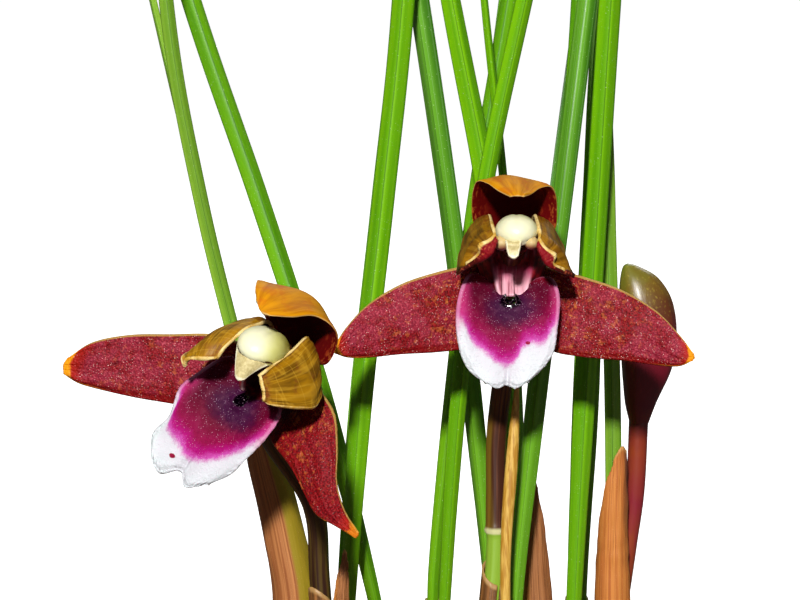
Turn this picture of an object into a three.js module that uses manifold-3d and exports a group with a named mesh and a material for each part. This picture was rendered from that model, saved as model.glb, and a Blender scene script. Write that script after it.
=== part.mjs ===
// A potted Maxillaria sanguinea orchid with two open blooms and a bud, in millimetres, +Z up.
// The origin is the middle of the pot's underside, and the right bloom faces -Y.
import * as THREE from 'three';
import { mergeVertices } from 'three/addons/utils/BufferGeometryUtils.js';
import Module from 'manifold-3d';

const wasm = await Module();
wasm.setup();

// Driving dimensions
const pot = {
  height: 80, rimRadius: 49, rimHeight: 17, rimStep: 3, baseRadius: 33, wall: 4.5, floor: 5,
  drainRadius: 4, drainCircle: 17, drainCount: 3, round: 1.5, sides: 40,
};
const medium = {
  top: 70, doming: 1.5, chips: 28, chipLength: 11.5, chipWidth: 7.5, chipDepth: 4.5,
  holeRadius: 3.8, holeBottom: 69, holeTop: 81,
};
const clearance = 0.3;
const leaf = { halfWidth: 1.3, fold: 0.7, thickness: 0.6, steps: 13, seat: 92 };
const petalThickness = 0.65;
const lipThickness = 0.95;
const sheathThickness = 0.6;
const bulb = { halfWidth: 4.7, halfDepth: 3.4, ridges: 6, ridgeDepth: 0.07, holeMargin: 0.6 };
const rhizome = { radius: 2.4, height: 71.6 };
const stalk = {
  radius: 1.05, ovary: [1.15, 1.3, 1.45, 1.5], column: [1.5, 1.5, 1.6, 1.5], shelf: [1.2, 0.95, 0.85],
  foot: [1.3, 1.1, 0.85, 0.6], bract: [1.35, 1.5, 1.4],
};

// Where each bloom is held, how it is turned, and its size beside the right one
const rightBloom = { at: [7.64, -22, 137.1], yaw: 0, roll: 0, pitch: 0, size: 1 };
const leftBloom = { at: [-18.8, -30, 127], yaw: -30, roll: 28.7, pitch: 0, size: 1.07 };

// Routes of the leaves from base to tip: each upper one stands on a pseudobulb, each lower one in the bark.
// turn is the angle of the leaf's face, and 0 shows its keel to the front
const leaves = {
  leaf_left_tall: { turn: 10, width: 0.66, points: [[-16, -3.6, 92], [-17.2, -4, 97], [-22, -5, 120],
    [-27.3, -6, 143], [-31.1, -6, 166], [-33, -4, 200], [-30, 0, 245]] },
  leaf_left_inner: { turn: -20, width: 0.42, points: [[-18.5, 4.5, 69.4], [-17.8, 3.4, 84], [-19, 2, 104],
    [-23.6, 2, 122], [-28.1, 2, 142.3], [-33.3, 1, 165.7], [-42, -2, 205]] },
  leaf_left_arching: { turn: 15, width: 0.93, points: [[-6.4, -1.7, 92], [-7.8, -2, 97], [-13.3, 0, 118.8],
    [-20.9, 4, 142], [-29, 8, 165.3], [-41, 14, 205], [-58, 22, 242]] },
  leaf_left_front: { turn: -8, points: [[-11.2, -10.4, 92], [-10.6, -10, 97], [-9, -10, 120.5],
    [-6.5, -9, 143.5], [-4.2, -9, 166.1], [-1.6, -12, 205], [-4, -20, 262]] },
  leaf_middle_dark: { turn: -24, points: [[6.6, 0, 92], [6, -1.2, 97], [3.7, -2, 119.1], [0.8, -3, 142.8],
    [-2.6, -4, 165.9], [-9, -4, 205], [-19, 2, 247]] },
  leaf_middle_low: { turn: 12, points: [[7.8, -5.9, 69.4], [8.1, -5.4, 84], [8.5, -4.6, 104],
    [8.5, -4, 119.5], [5.8, -4, 142.9], [1.4, -5, 166], [-6, -8, 205]] },
  leaf_middle_back: { turn: -10, width: 0.74, points: [[-0.2, 2.2, 92], [-0.6, 1.4, 97], [1.5, 2, 118.5],
    [4.3, 4, 142], [8.2, 6, 165.4], [15, 10, 205], [22, 20, 255]] },
  leaf_middle_front: { turn: 8, width: 0.76, points: [[0.5, -7.7, 92], [0.8, -8, 97], [2.3, -9, 120.3],
    [5, -10, 143.6], [9.6, -11, 166.3], [18, -15, 205], [31, -23, 244]] },
  leaf_middle_narrow: { turn: 5, width: 0.4, points: [[12.6, 2.6, 69.4], [11.4, 3.4, 84], [9.9, 4, 104],
    [9.6, 4, 118.1], [7.9, 3, 142.3], [5.3, 1, 165.7], [2, -2, 200]] },
  leaf_right_blue: { turn: -12, width: 0.9, points: [[8.6, -12.4, 92], [8.7, -12.1, 97.5], [11, -11, 120.7],
    [13.9, -9, 143.5], [16.8, -4.6, 166], [22, 4, 205], [31, 14, 248]] },
  leaf_right_thin: { turn: 10, width: 0.6, points: [[10.2, 8.6, 92], [10.6, 8, 97], [12, 6.6, 117.8],
    [14.6, 5.2, 141.9], [16.4, 5, 165.5], [17.4, 4, 205], [18, 3, 245]] },
  leaf_right_tall: { turn: 4, points: [[15.5, -8.3, 92], [15.8, -8, 97], [16.9, -7, 120],
    [18.2, -6.8, 143.1], [19.4, -8, 166], [22, -11, 210], [30, -18, 266]] },
  leaf_right_sheathed: { turn: -10, width: 0.75, points: [[21.4, -3, 70.6], [21, -3, 84], [20.6, -3, 100],
    [20.3, -2.4, 119.1], [19.6, -0.6, 142.5], [19.4, 1, 165.6], [23, 5, 205]] },
  leaf_right_back: { turn: 0, width: 0.85, points: [[17.4, 8.5, 92], [17.5, 8.1, 97], [18.3, 7, 117.6],
    [18.8, 6, 141.8], [20, 6.6, 165.4], [25, 10, 205], [36, 18, 240]] },
  leaf_back_left: { turn: 170, points: [[-11.4, 12.2, 92], [-11, 12.8, 97], [-9.3, 14, 116.4],
    [-6.6, 17, 140.6], [-4.1, 20, 164.7], [-2, 30, 205], [-3, 46, 240]] },
  leaf_back_middle: { turn: 190, points: [[0.1, 16.4, 92], [0.4, 16.6, 97], [2.3, 18, 115.7],
    [5.1, 21, 140.2], [8.8, 25, 164.5], [13, 36, 203], [15, 54, 232]] },
  leaf_back_right: { turn: 175, points: [[10.2, 20.4, 92], [10.5, 20.8, 97], [12.5, 22.5, 115],
    [15.3, 26, 139.8], [18.7, 31, 164.4], [24, 44, 200], [28, 62, 222]] },
  leaf_back_far_right: { turn: 160, points: [[17.4, 17.2, 92], [17.3, 17.2, 97], [18.1, 17, 115.7],
    [19.2, 18, 140.3], [20.7, 21, 164.6], [26, 27, 205], [35, 36, 240]] },
  leaf_low_left: { turn: 90, points: [[-23.5, 6, 69.4], [-26.5, 7, 80], [-34, 9.5, 88.5], [-48, 14, 89],
    [-66, 19, 78], [-80, 22, 60]] },
  leaf_low_right: { turn: -80, points: [[27.6, 4, 69.4], [30.5, 5, 80], [38, 8, 88.5], [53, 13, 87],
    [71, 18, 72], [82, 20, 52]] },
};

// Pseudobulbs of each rhizome, oldest first: where each one stands
const rhizomes = {
  rhizome_front: [[-16, -3.6], [-11.2, -10.4], [0.5, -7.7], [8.6, -12.4], [15.5, -8.3]],
  rhizome_middle: [[-6.4, -1.7], [-0.2, 2.2], [6.6, 0]],
  rhizome_back: [[-11.4, 12.2], [0.1, 16.4], [10.2, 20.4], [17.4, 17.2], [17.4, 8.5], [10.2, 8.6]],
};

// Dry sheaths and bracts: an axis, the radius along it, the way it opens and how far round it reaches
const sheaths = {
  sheath_left: { axis: [[-19.6, -10.8, 70.6], [-18.8, -10.8, 82], [-16.6, -10.8, 95], [-17.8, -11, 105],
    [-19.8, -11.4, 113.5], [-21.2, -11.6, 118.3]], radii: [2, 2.2, 2.4, 2.3, 2, 1], face: 262,
  spans: [320, 300, 250, 200, 150, 80] },
  sheath_right: { axis: [[21, -3, 70.6], [20.5, -3, 96], [20.5, -3, 104], [20.7, -2.8, 115.5]],
    radii: [2.8, 2.2, 1.9, 1.6], face: 285, spans: [320, 300, 240, 90] },
  bract_middle: { axis: [[13, -2.7, 70.6], [12.4, -2.8, 88], [11.7, -2.9, 100], [11.3, -3, 109.6]],
    radii: [2, 1.9, 1.5, 0.8], face: 270, spans: [280, 230, 160, 60] },
  bract_left_thin: { axis: [[-10.6, -19.4, 70.6], [-11, -19.2, 88], [-11.2, -19, 98], [-10.8, -19, 105]],
    radii: [1.1, 1, 0.8, 0.5], face: 280, spans: [260, 220, 160, 90] },
};

const finishes = {
  clay: { color: 0xb5623a, roughness: 0.9 },
  bark: { color: 0x6b4526, roughness: 0.95 },
  bulbGreen: { color: 0x7f9a3a, roughness: 0.5 },
  leafGreen: { color: 0x5aa30a, roughness: 0.4 },
  sepalRed: { color: 0x8e1f2b, roughness: 0.5 },
  petalOchre: { color: 0xb5821f, roughness: 0.45 },
  lipMagenta: { color: 0xc02a80, roughness: 0.6 },
  capCream: { color: 0xf0eebe, roughness: 0.35 },
  stalkBrown: { color: 0x6a3a12, roughness: 0.5 },
  budMaroon: { color: 0x5a1a1c, roughness: 0.45 },
  sheathBrown: { color: 0xb06f38, roughness: 0.8 },
  youngTan: { color: 0xc89a3a, roughness: 0.5 },
};

const plant = new THREE.Group();

function add(name, geometry, finish) {
  const material = new THREE.MeshStandardMaterial({ metalness: 0, ...finishes[finish] });
  const mesh = new THREE.Mesh(geometry, material);
  mesh.name = name;
  plant.add(mesh);
}

const vector = (point) => new THREE.Vector3(...point);
const radians = THREE.MathUtils.degToRad;
const curveThrough = (points) => new THREE.CatmullRomCurve3(points, false, 'catmullrom', 0.5);

// The value at a fraction of the way along a short list
function along(values, fraction) {
  const place = fraction * (values.length - 1);
  const step = Math.min(Math.floor(place), values.length - 2);
  return THREE.MathUtils.lerp(values[step], values[step + 1], place - step);
}

// A closed geometry from points and triangles, turned so that its faces point out
function closedGeometry(points, triangles) {
  const volume = triangles.reduce((sum, [a, b, c]) => (
    sum + points[a].dot(points[b].clone().cross(points[c]))), 0);
  const faces = volume < 0 ? triangles.map(([a, b, c]) => [a, c, b]) : triangles;
  const geometry = new THREE.BufferGeometry();
  geometry.setAttribute('position', new THREE.Float32BufferAttribute(points.flatMap((p) => p.toArray()), 3));
  geometry.setIndex(faces.flat());
  geometry.computeVertexNormals();
  return geometry;
}

// A blade of even thickness over a grid of points, with the same diagonals on both faces
function gridSolid(grid, thickness) {
  const rows = grid.length;
  const columns = grid[0].length;
  const points = [];
  for (const side of [0.5, -0.5]) {
    for (let i = 0; i < rows; i += 1) {
      for (let j = 0; j < columns; j += 1) {
        const lengthwise = grid[Math.min(i + 1, rows - 1)][j].clone().sub(grid[Math.max(i - 1, 0)][j]);
        const across = grid[i][Math.min(j + 1, columns - 1)].clone().sub(grid[i][Math.max(j - 1, 0)]);
        const normal = across.cross(lengthwise).normalize();
        points.push(grid[i][j].clone().addScaledVector(normal, side * thickness));
      }
    }
  }
  const front = (i, j) => i * columns + j;
  const back = (i, j) => rows * columns + i * columns + j;
  const triangles = [];
  for (let i = 0; i < rows - 1; i += 1) {
    for (let j = 0; j < columns - 1; j += 1) {
      triangles.push([front(i, j), front(i, j + 1), front(i + 1, j)]);
      triangles.push([front(i, j + 1), front(i + 1, j + 1), front(i + 1, j)]);
      triangles.push([back(i, j), back(i + 1, j), back(i, j + 1)]);
      triangles.push([back(i, j + 1), back(i + 1, j), back(i + 1, j + 1)]);
    }
  }
  const rim = [];
  for (let j = 0; j < columns; j += 1) rim.push([0, j]);
  for (let i = 1; i < rows; i += 1) rim.push([i, columns - 1]);
  for (let j = columns - 2; j >= 0; j -= 1) rim.push([rows - 1, j]);
  for (let i = rows - 2; i > 0; i -= 1) rim.push([i, 0]);
  rim.forEach((here, k) => {
    const next = rim[(k + 1) % rim.length];
    triangles.push([front(...here), back(...next), front(...next)]);
    triangles.push([front(...here), back(...here), back(...next)]);
  });
  return closedGeometry(points, triangles);
}

// A smooth blade through rows of points, each row from one margin to the other
function bladeSolid(rows, thickness, stepsAlong, stepsAcross) {
  const lines = rows[0].map((_, k) => curveThrough(rows.map((row) => row[k])));
  const grid = [];
  for (let i = 0; i <= stepsAlong; i += 1) {
    const across = curveThrough(lines.map((line) => line.getPoint(i / stepsAlong)));
    grid.push(Array.from({ length: stepsAcross + 1 }, (_, j) => across.getPoint(j / stepsAcross)));
  }
  return gridSolid(grid, thickness);
}

// A solid through closed rings of points, with a fan over each end
function ringSolid(rings) {
  const sides = rings[0].length;
  const middle = (ring) => ring.reduce((sum, p) => sum.add(p), new THREE.Vector3()).divideScalar(sides);
  const points = [...rings.flat(), middle(rings[0]), middle(rings[rings.length - 1])];
  const triangles = [];
  const last = (rings.length - 1) * sides;
  for (let j = 0; j < sides; j += 1) {
    const next = (j + 1) % sides;
    for (let i = 0; i < last; i += sides) {
      triangles.push([i + j, i + next, i + sides + j]);
      triangles.push([i + next, i + sides + next, i + sides + j]);
    }
    triangles.push([points.length - 2, next, j]);
    triangles.push([points.length - 1, last + j, last + next]);
  }
  return closedGeometry(points, triangles);
}

// A round stem along a route, with its radius given at each point of the route
function stemSolid(route, radii, sides, steps) {
  const curve = curveThrough(route);
  const frames = curve.computeFrenetFrames(steps, false);
  const rings = [];
  for (let i = 0; i <= steps; i += 1) {
    const centre = curve.getPointAt(i / steps);
    const radius = along(radii, curve.getUtoTmapping(i / steps));
    rings.push(Array.from({ length: sides }, (_, j) => {
      const angle = (2 * Math.PI * j) / sides;
      return centre.clone()
        .addScaledVector(frames.normals[i], radius * Math.cos(angle))
        .addScaledVector(frames.binormals[i], radius * Math.sin(angle));
    }));
  }
  return ringSolid(rings);
}

function ellipsoid(centre, radii, sides, levels) {
  const geometry = new THREE.SphereGeometry(1, sides, levels);
  geometry.scale(...radii);
  geometry.translate(...centre);
  return geometry;
}

function solidOf(geometry) {
  const plain = geometry.clone();
  plain.deleteAttribute('normal');
  plain.deleteAttribute('uv');
  const merged = mergeVertices(plain, 1e-4);
  return new wasm.Manifold(new wasm.Mesh({
    numProp: 3,
    vertProperties: new Float32Array(merged.attributes.position.array),
    triVerts: new Uint32Array(merged.index.array),
  }));
}

function geometryOf(solid) {
  const mesh = solid.getMesh();
  const geometry = new THREE.BufferGeometry();
  geometry.setAttribute('position', new THREE.BufferAttribute(mesh.vertProperties, 3));
  geometry.setIndex(new THREE.BufferAttribute(mesh.triVerts, 1));
  geometry.computeVertexNormals();
  return geometry;
}

const joined = (geometries) => geometries.map(solidOf).reduce((sum, solid) => sum.add(solid));

const goldenAngle = Math.PI * (3 - Math.sqrt(5));

// The same random numbers on every run
let seed = 20261;
function random() {
  seed = (seed * 16807) % 2147483647;
  return seed / 2147483647;
}

// Leaves
function leafRow(curve, fraction, width, turn) {
  const widths = [0.62, 0.8, 1, 1, 1, 1, 0.97, 0.9, 0.74, 0.5, 0.18];
  const half = leaf.halfWidth * width * along(widths, fraction);
  const fold = leaf.fold * width * along(widths, fraction);
  const tangent = curve.getTangentAt(fraction);
  const side = new THREE.Vector3(Math.cos(radians(turn)), Math.sin(radians(turn)), 0);
  side.addScaledVector(tangent, -side.dot(tangent)).normalize();
  const up = tangent.clone().cross(side);
  const keel = curve.getPointAt(fraction);
  const margin = (sign) => keel.clone().addScaledVector(side, sign * half).addScaledVector(up, fold);
  return [margin(-1), keel, margin(1)];
}

function leafSolid({ points, turn, width = 1 }) {
  const curve = curveThrough(points.map(vector));
  const rows = Array.from({ length: leaf.steps + 1 }, (_, i) => leafRow(curve, i / leaf.steps, width, turn));
  return gridSolid(rows, leaf.thickness);
}

for (const [name, shape] of Object.entries(leaves)) add(name, leafSolid(shape), 'leafGreen');

// Pseudobulbs, fused to the rhizome that they grow from. A margin gives the smooth, wider form of their holes
function bulbSolid([x, y], margin) {
  const levels = [0, 0.15, 0.38, 0.62, 0.84, 1];
  const swell = [0.62, 0.92, 1, 0.86, 0.52, 0.3];
  const base = rhizome.height - rhizome.radius - clearance;
  return ringSolid(levels.map((level, i) => Array.from({ length: 2 * bulb.ridges }, (_, j) => {
    const angle = (Math.PI * j) / bulb.ridges;
    const ridge = margin === 0 && j % 2 ? -bulb.ridgeDepth : bulb.ridgeDepth;
    const reach = swell[i] * (1 + ridge) + margin / bulb.halfDepth;
    const z = base - margin + level * (leaf.seat - clearance - leaf.thickness - base);
    return new THREE.Vector3(x + bulb.halfWidth * reach * Math.cos(angle),
      y + bulb.halfDepth * reach * Math.sin(angle), z);
  })));
}

function rhizomeSolid(places, margin = 0) {
  const route = places.map(([x, y]) => new THREE.Vector3(x, y, rhizome.height));
  const radius = rhizome.radius + margin;
  return joined([
    stemSolid(route, [radius, radius], 7, 2 * (places.length - 1)),
    ...places.map((place) => bulbSolid(place, margin)),
  ]);
}

for (const [name, places] of Object.entries(rhizomes)) {
  add(name, geometryOf(rhizomeSolid(places)), 'bulbGreen');
}

// Sheaths: rolled sheets round an upright axis
function sheathSolid({ axis, radii, face, spans }) {
  const curve = curveThrough(axis.map(vector));
  const steps = 7;
  const columns = 8;
  const grid = Array.from({ length: steps + 1 }, (_, i) => {
    const fraction = i / steps;
    const centre = curve.getPointAt(fraction);
    return Array.from({ length: columns + 1 }, (_unused, j) => {
      const angle = radians(face + along(spans, fraction) * (j / columns - 0.5));
      const radius = along(radii, fraction);
      return centre.clone().add(new THREE.Vector3(radius * Math.cos(angle), radius * Math.sin(angle), 0));
    });
  });
  return gridSolid(grid, sheathThickness);
}

for (const [name, shape] of Object.entries(sheaths)) add(name, sheathSolid(shape), 'sheathBrown');

// Bloom pieces, each as rows of points from base to tip in the bloom's own frame:
// x to the viewer's right, y to the back, z up, with the origin where the pieces meet
const dorsalSepal = [
  [[-2, 3, 2.2], [0, 3.9, 2.1], [2, 3, 2.2]],
  [[-3.8, 1.6, 4.6], [0, 3.8, 4.8], [4.7, 1.5, 4]],
  [[-4.2, -0.4, 7.6], [0, 2.4, 7.7], [5.05, -0.3, 7.3]],
  [[-3.8, -2.6, 10], [0, -0.2, 10.1], [4.45, -2.2, 9.4]],
  [[-2.7, -4.8, 10.2], [0.1, -3.2, 10.6], [3.1, -4.2, 9.6]],
  [[-1.5, -6.9, 9.6], [0.3, -6, 10.1], [2, -6.6, 9.2]],
  [[-0.3, -8.2, 9.1], [0.5, -8.4, 9.2], [1.2, -8.1, 9.1]],
];
const lateralSepal = [
  [[-1.7, 2.5, 0.8], [-1.9, 2.7, -2.6], [-1.7, 1.8, -6.2]],
  [[-4.4, 1.4, 0.3], [-4.6, 0.4, -4], [-4.2, -0.3, -8.4]],
  [[-8, 0, -0.4], [-8.3, -1.2, -4.6], [-7.8, -1.6, -8.9]],
  [[-12, -1.4, -1.7], [-12.2, -2.6, -5.3], [-12, -2.9, -9.1]],
  [[-15.6, -2.8, -3.9], [-15.8, -3.8, -6.6], [-15.6, -3.9, -9.5]],
  [[-18, -4.2, -6.4], [-18, -4.7, -8.1], [-17.8, -4.7, -9.5]],
  [[-19.3, -5.2, -8.4], [-19.4, -5.2, -8.8], [-19.2, -5.2, -9.1]],
];
const droopingSepal = [
  [[-1.7, 2.5, 0.8], [-1.9, 2.7, -2.4], [-1.7, 1.8, -5.6]],
  [[-4.3, 1.4, 0.3], [-4.5, 0.4, -3.7], [-4.2, -0.3, -7.5]],
  [[-7.4, 0.1, -0.3], [-7.6, -1, -4.4], [-7.2, -1.4, -8.4]],
  [[-11, -1.3, -2.4], [-11, -2.3, -6.1], [-10.8, -2.9, -9.7]],
  [[-14.6, -2.8, -4.6], [-14.4, -3.6, -7.8], [-14.2, -4, -10.8]],
  [[-17.4, -4.2, -7.1], [-17.1, -4.6, -9.3], [-16.6, -4.8, -11.4]],
  [[-18.9, -4.9, -9.9], [-18.9, -5.1, -10.6], [-18.4, -5.2, -11.4]],
];
const narrowSepal = [
  [[1.7, 2.5, 0.8], [1.9, 2.7, -2.2], [1.7, 1.8, -5.4]],
  [[5, 1.6, 1], [5, 0.2, -2.3], [4.2, -0.9, -5.5]],
  [[8.4, 0.4, 0.4], [8.6, -1.4, -2.9], [8, -2.2, -6]],
  [[11, -1, -1.8], [11.4, -2.6, -4.4], [11.3, -3.2, -6.6]],
  [[13.3, -2.5, -4.3], [13.7, -3.6, -5.8], [13.6, -3.9, -7.1]],
  [[16, -3.7, -5.7], [16.1, -4.1, -6.5], [16, -4.2, -7.2]],
  [[18.5, -4.5, -6.2], [18.6, -4.5, -6.5], [18.5, -4.5, -6.8]],
];
const petal = [
  [[-1.9, 1.6, 3.5], [-2.5, 1.8, 2.6], [-2.7, 1.6, 1.6]],
  [[-2.4, -1, 6.1], [-4.1, -0.8, 4.8], [-5.1, -1.2, 2.4]],
  [[-2.6, -3.7, 6], [-4.7, -3.5, 4.2], [-5.6, -4, 1.5]],
  [[-2.6, -5.9, 5.4], [-4.5, -6.3, 3.8], [-5.6, -6.3, 1.3]],
  [[-2.4, -7.4, 5], [-4.1, -7.9, 3.8], [-5.2, -7.5, 1.7]],
  [[-2.2, -8.9, 4.6], [-3.5, -9.3, 3.8], [-4, -8.9, 2.1]],
];
const rightPetal = [
  [[1.9, 1.6, 3.5], [2.5, 1.8, 2.6], [2.7, 1.6, 1.6]],
  [[2.7, -1, 6.1], [4.4, -0.8, 4.7], [5.5, -1.2, 2.2]],
  [[3.4, -3.7, 5.8], [5.2, -3.5, 4], [6.4, -4, 1.2]],
  [[3.5, -5.9, 5.1], [5.3, -6.3, 3.5], [6.7, -6.2, 0.9]],
  [[3.3, -7.4, 4.6], [5.1, -7.8, 3.2], [6.5, -7.3, 1]],
  [[2.9, -8.8, 4.2], [4.5, -9.3, 2.8], [5, -8.9, 1.2]],
];
const droopingPetal = [
  [[-1.9, 1.6, 3.5], [-2.5, 1.8, 2.6], [-2.7, 1.6, 1.6]],
  [[-2.4, -1, 5.6], [-3.9, -0.9, 4.4], [-4.9, -1.2, 2.2]],
  [[-2.7, -3.6, 5.2], [-4.5, -3.9, 3.5], [-5.4, -4, 0.8]],
  [[-2.7, -5.9, 4.4], [-4.4, -6.5, 2.7], [-5.4, -6.6, -0.2]],
  [[-2.4, -7.5, 2.8], [-4.1, -8.2, 1.6], [-5, -8.2, -0.4]],
  [[-2.1, -8.1, 1.7], [-3.6, -8.9, 0.7], [-4.4, -8.6, -0.7]],
];
const flaredPetal = [
  [[1.9, 1.6, 3.5], [2.5, 1.8, 2.6], [2.7, 1.6, 1.6]],
  [[2.6, -1, 6.1], [4.6, -0.6, 4.6], [6.2, -0.8, 2.2]],
  [[3.2, -3.6, 5.1], [5.6, -3.2, 4], [7.8, -3.2, 1.6]],
  [[3.5, -6.2, 4.2], [5.5, -6, 3.4], [7.4, -5.6, 1.5]],
  [[3.4, -8, 3.5], [4.8, -8.3, 2.7], [5.9, -8, 1.3]],
  [[3.4, -8.8, 3.2], [4.4, -9, 2.3], [5, -8.9, 1.4]],
];
const lip = [
  [[-1.4, -0.1, -3.4], [-0.8, 0, -4.1], [0, 0.1, -4.3], [0.8, 0, -4.1], [1.4, -0.1, -3.4]],
  [[-2.8, -1.9, -0.7], [-1.7, -1.2, -2.6], [0, -0.8, -3.8], [1.7, -1.2, -2.6], [2.8, -1.9, -0.8]],
  [[-4.6, -3.3, -0.1], [-2.6, -2.3, -2], [0, -1.8, -3.3], [2.6, -2.3, -2], [4.5, -3.3, -0.6]],
  [[-5.7, -4.4, -2.6], [-3.2, -3.2, -3.6], [0, -2.9, -4.2], [3, -3.2, -3.6], [5.2, -4.4, -2.6]],
  [[-5.9, -5.1, -5.6], [-3, -4.4, -6.3], [-0.2, -4.1, -6.5], [2.6, -4.4, -6.3], [4.9, -5.1, -5.7]],
  [[-5.4, -5.5, -8.5], [-2.9, -5.3, -8.9], [-0.3, -5.1, -8.8], [2.1, -5.3, -8.8], [4.5, -5.4, -8.3]],
  [[-4.4, -5.9, -10.4], [-2.5, -5.9, -10.9], [-0.5, -5.6, -10.6], [1.4, -5.9, -10.8], [3.3, -5.8, -10.1]],
  [[-2.8, -6.1, -11.6], [-1.6, -6.2, -12.1], [-0.5, -6, -11.7], [0.5, -6.2, -12.1], [1.8, -6.1, -11.5]],
];
const leftLip = [
  [[-1.4, -0.1, -3.4], [-0.8, 0, -4.1], [0, 0.1, -4.3], [0.8, 0, -4.1], [1.4, -0.1, -3.4]],
  [[-2.5, -1.7, -0.4], [-1.6, -1.2, -2.5], [0, -0.8, -3.8], [1.7, -1.2, -2.7], [2.9, -1.9, -1.2]],
  [[-3.7, -2.9, -0.2], [-2.4, -2.3, -2], [0, -1.8, -3.2], [2.5, -2.4, -2.1], [4.5, -3.2, -1]],
  [[-5.2, -4, -3.1], [-3.1, -3.2, -3.8], [-0.2, -2.9, -4.1], [2.8, -3.2, -3.4], [5.2, -4.3, -1.9]],
  [[-5.9, -4.6, -5.2], [-3.2, -4.2, -6], [-0.4, -3.9, -6.3], [2.5, -4.2, -5.7], [5.1, -5.1, -4.1]],
  [[-5.3, -5.2, -8], [-3.1, -5, -8.6], [-0.7, -4.9, -8.6], [1.9, -5.1, -7.9], [4.5, -5.6, -6.5]],
  [[-5.6, -5.6, -10.6], [-3.6, -5.6, -11], [-1.1, -5.4, -10.4], [1.2, -5.8, -10.2], [3.6, -5.8, -8.8]],
  [[-4.3, -6, -12.7], [-2.6, -6.2, -12.8], [-1.2, -6, -11.7], [0.4, -6.2, -12.2], [2.3, -6, -10.6]],
];
const mirrored = (rows) => rows.map((row) => row.map(([x, y, z]) => [-x, y, z]));

// The right bloom's left sepal rises a little towards its tip, and its right one is longer and sits lower
const lifted = (row) => row.map(([x, y, z]) => [x, y, z + 0.0018 * x * x]);
const rightDrop = [0, 0.3, 0.45, 0.45, 0.4, 0.4, 0.15];
const rightSepal = mirrored(lateralSepal).map((row, i) => row.map(([x, y, z]) => [x * 1.03, y, z - rightDrop[i]]));

// The column grows forward from the top of the ovary, and its foot reaches down behind the lip
const ovary = [[0, 7, -9], [0, 6.9, -5.5], [0, 5.6, -2], [0, 3, -0.2]];
const columnLine = [[0, 3, -0.2], [0.1, 1, 1.6], [0.2, -0.8, 2.9], [0.3, -2, 3.2]];
const shelfLine = [[0.3, -1.2, 2.4], [0.3, -4.2, 2.2], [0.3, -6.2, 2.2]];
const footLine = [[0, 3, -0.2], [0, 2.4, -2.4], [0, 1.55, -4.4], [0, 1.4, -5.6]];
const rostellum = [
  [[-1, -4.8, 2.6], [0.3, -5, 2.4], [1.6, -4.8, 2.6]],
  [[-1.2, -6.9, 2.8], [0.4, -7.2, 2.6], [2, -6.9, 2.8]],
  [[-0.5, -7.9, 2.3], [0.5, -8.1, 2.1], [1.4, -7.9, 2.3]],
  [[0, -8.6, 1.5], [0.5, -8.8, 1.4], [1, -8.6, 1.5]],
];
const capBase = 3.6;
const rightCap = { centre: [0.5, -5.6, 4.95], radii: [2.3, 2.9, 1.9] };
const leftCap = { centre: [0.45, -5.3, 4.45], radii: [2.45, 3.2, 1.95] };

// Gives the function that puts a point of a bloom's own frame into place
function bloomPlacing({ at, yaw, roll, pitch, size }) {
  const turn = new THREE.Euler(radians(pitch), radians(roll), radians(yaw), 'ZYX');
  return (point) => vector(point).multiplyScalar(size).applyEuler(turn).add(vector(at));
}

function addBloom(side, bloom, pieces, stalkRoute) {
  const place = bloomPlacing(bloom);
  const blade = (rows, thickness, stepsAlong, stepsAcross) => (
    bladeSolid(rows.map((row) => row.map(place)), thickness, stepsAlong, stepsAcross));
  add(`dorsal_sepal_${side}`, blade(dorsalSepal, petalThickness, 9, 6), 'sepalRed');
  add(`lateral_sepal_${side}_a`, blade(pieces.sepals[0], petalThickness, 9, 4), 'sepalRed');
  add(`lateral_sepal_${side}_b`, blade(pieces.sepals[1], petalThickness, 9, 4), 'sepalRed');
  add(`petal_${side}_a`, blade(pieces.petals[0], petalThickness, 8, 5), 'petalOchre');
  add(`petal_${side}_b`, blade(pieces.petals[1], petalThickness, 8, 5), 'petalOchre');
  add(`lip_${side}`, blade(pieces.lip, lipThickness, 10, 8), 'lipMagenta');

  const grown = [...stalkRoute.map(vector), ...ovary.map(place)];
  const thick = [...stalkRoute.map(() => stalk.radius), ...stalk.ovary];
  const column = joined([
    stemSolid(grown, thick, 8, 16),
    stemSolid(columnLine.map(place), stalk.column, 10, 4),
    stemSolid(shelfLine.map(place), stalk.shelf, 8, 2),
    stemSolid(footLine.map(place), stalk.foot, 8, 4),
    blade(rostellum, 0.7, 4, 2),
    stemSolid(stalkRoute.slice(0, 3).map(vector), stalk.bract, 8, 6),
  ]);
  add(`column_and_stalk_${side}`, geometryOf(column), 'stalkBrown');

  const dome = ellipsoid(pieces.cap.centre, pieces.cap.radii, 14, 9);
  const corners = dome.attributes.position;
  for (let i = 0; i < corners.count; i += 1) {
    const [x, y, z] = [corners.getX(i), corners.getY(i), corners.getZ(i)];
    corners.setXYZ(i, ...place([x, y, Math.max(z, capBase)]).toArray());
  }
  add(`anther_cap_${side}`, geometryOf(solidOf(dome)), 'capCream');
}

const rightStalk = [
  [3.4, -17.6, 69.4], [4.9, -17.3, 88], [6.2, -15.8, 102], [6.4, -15, 110], [6.5, -14.6, 118],
];
const leftStalk = [[-12.4, -16.6, 69.4], [-12.8, -16.6, 88], [-13.6, -16.4, 101], [-14.4, -17.6, 110]];
addBloom('right', rightBloom, {
  sepals: [lateralSepal.map(lifted), rightSepal], petals: [petal, rightPetal], lip,
  cap: rightCap,
}, rightStalk);
addBloom('left', leftBloom, {
  sepals: [droopingSepal, narrowSepal], petals: [droopingPetal, flaredPetal], lip: leftLip,
  cap: leftCap,
}, leftStalk);

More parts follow.
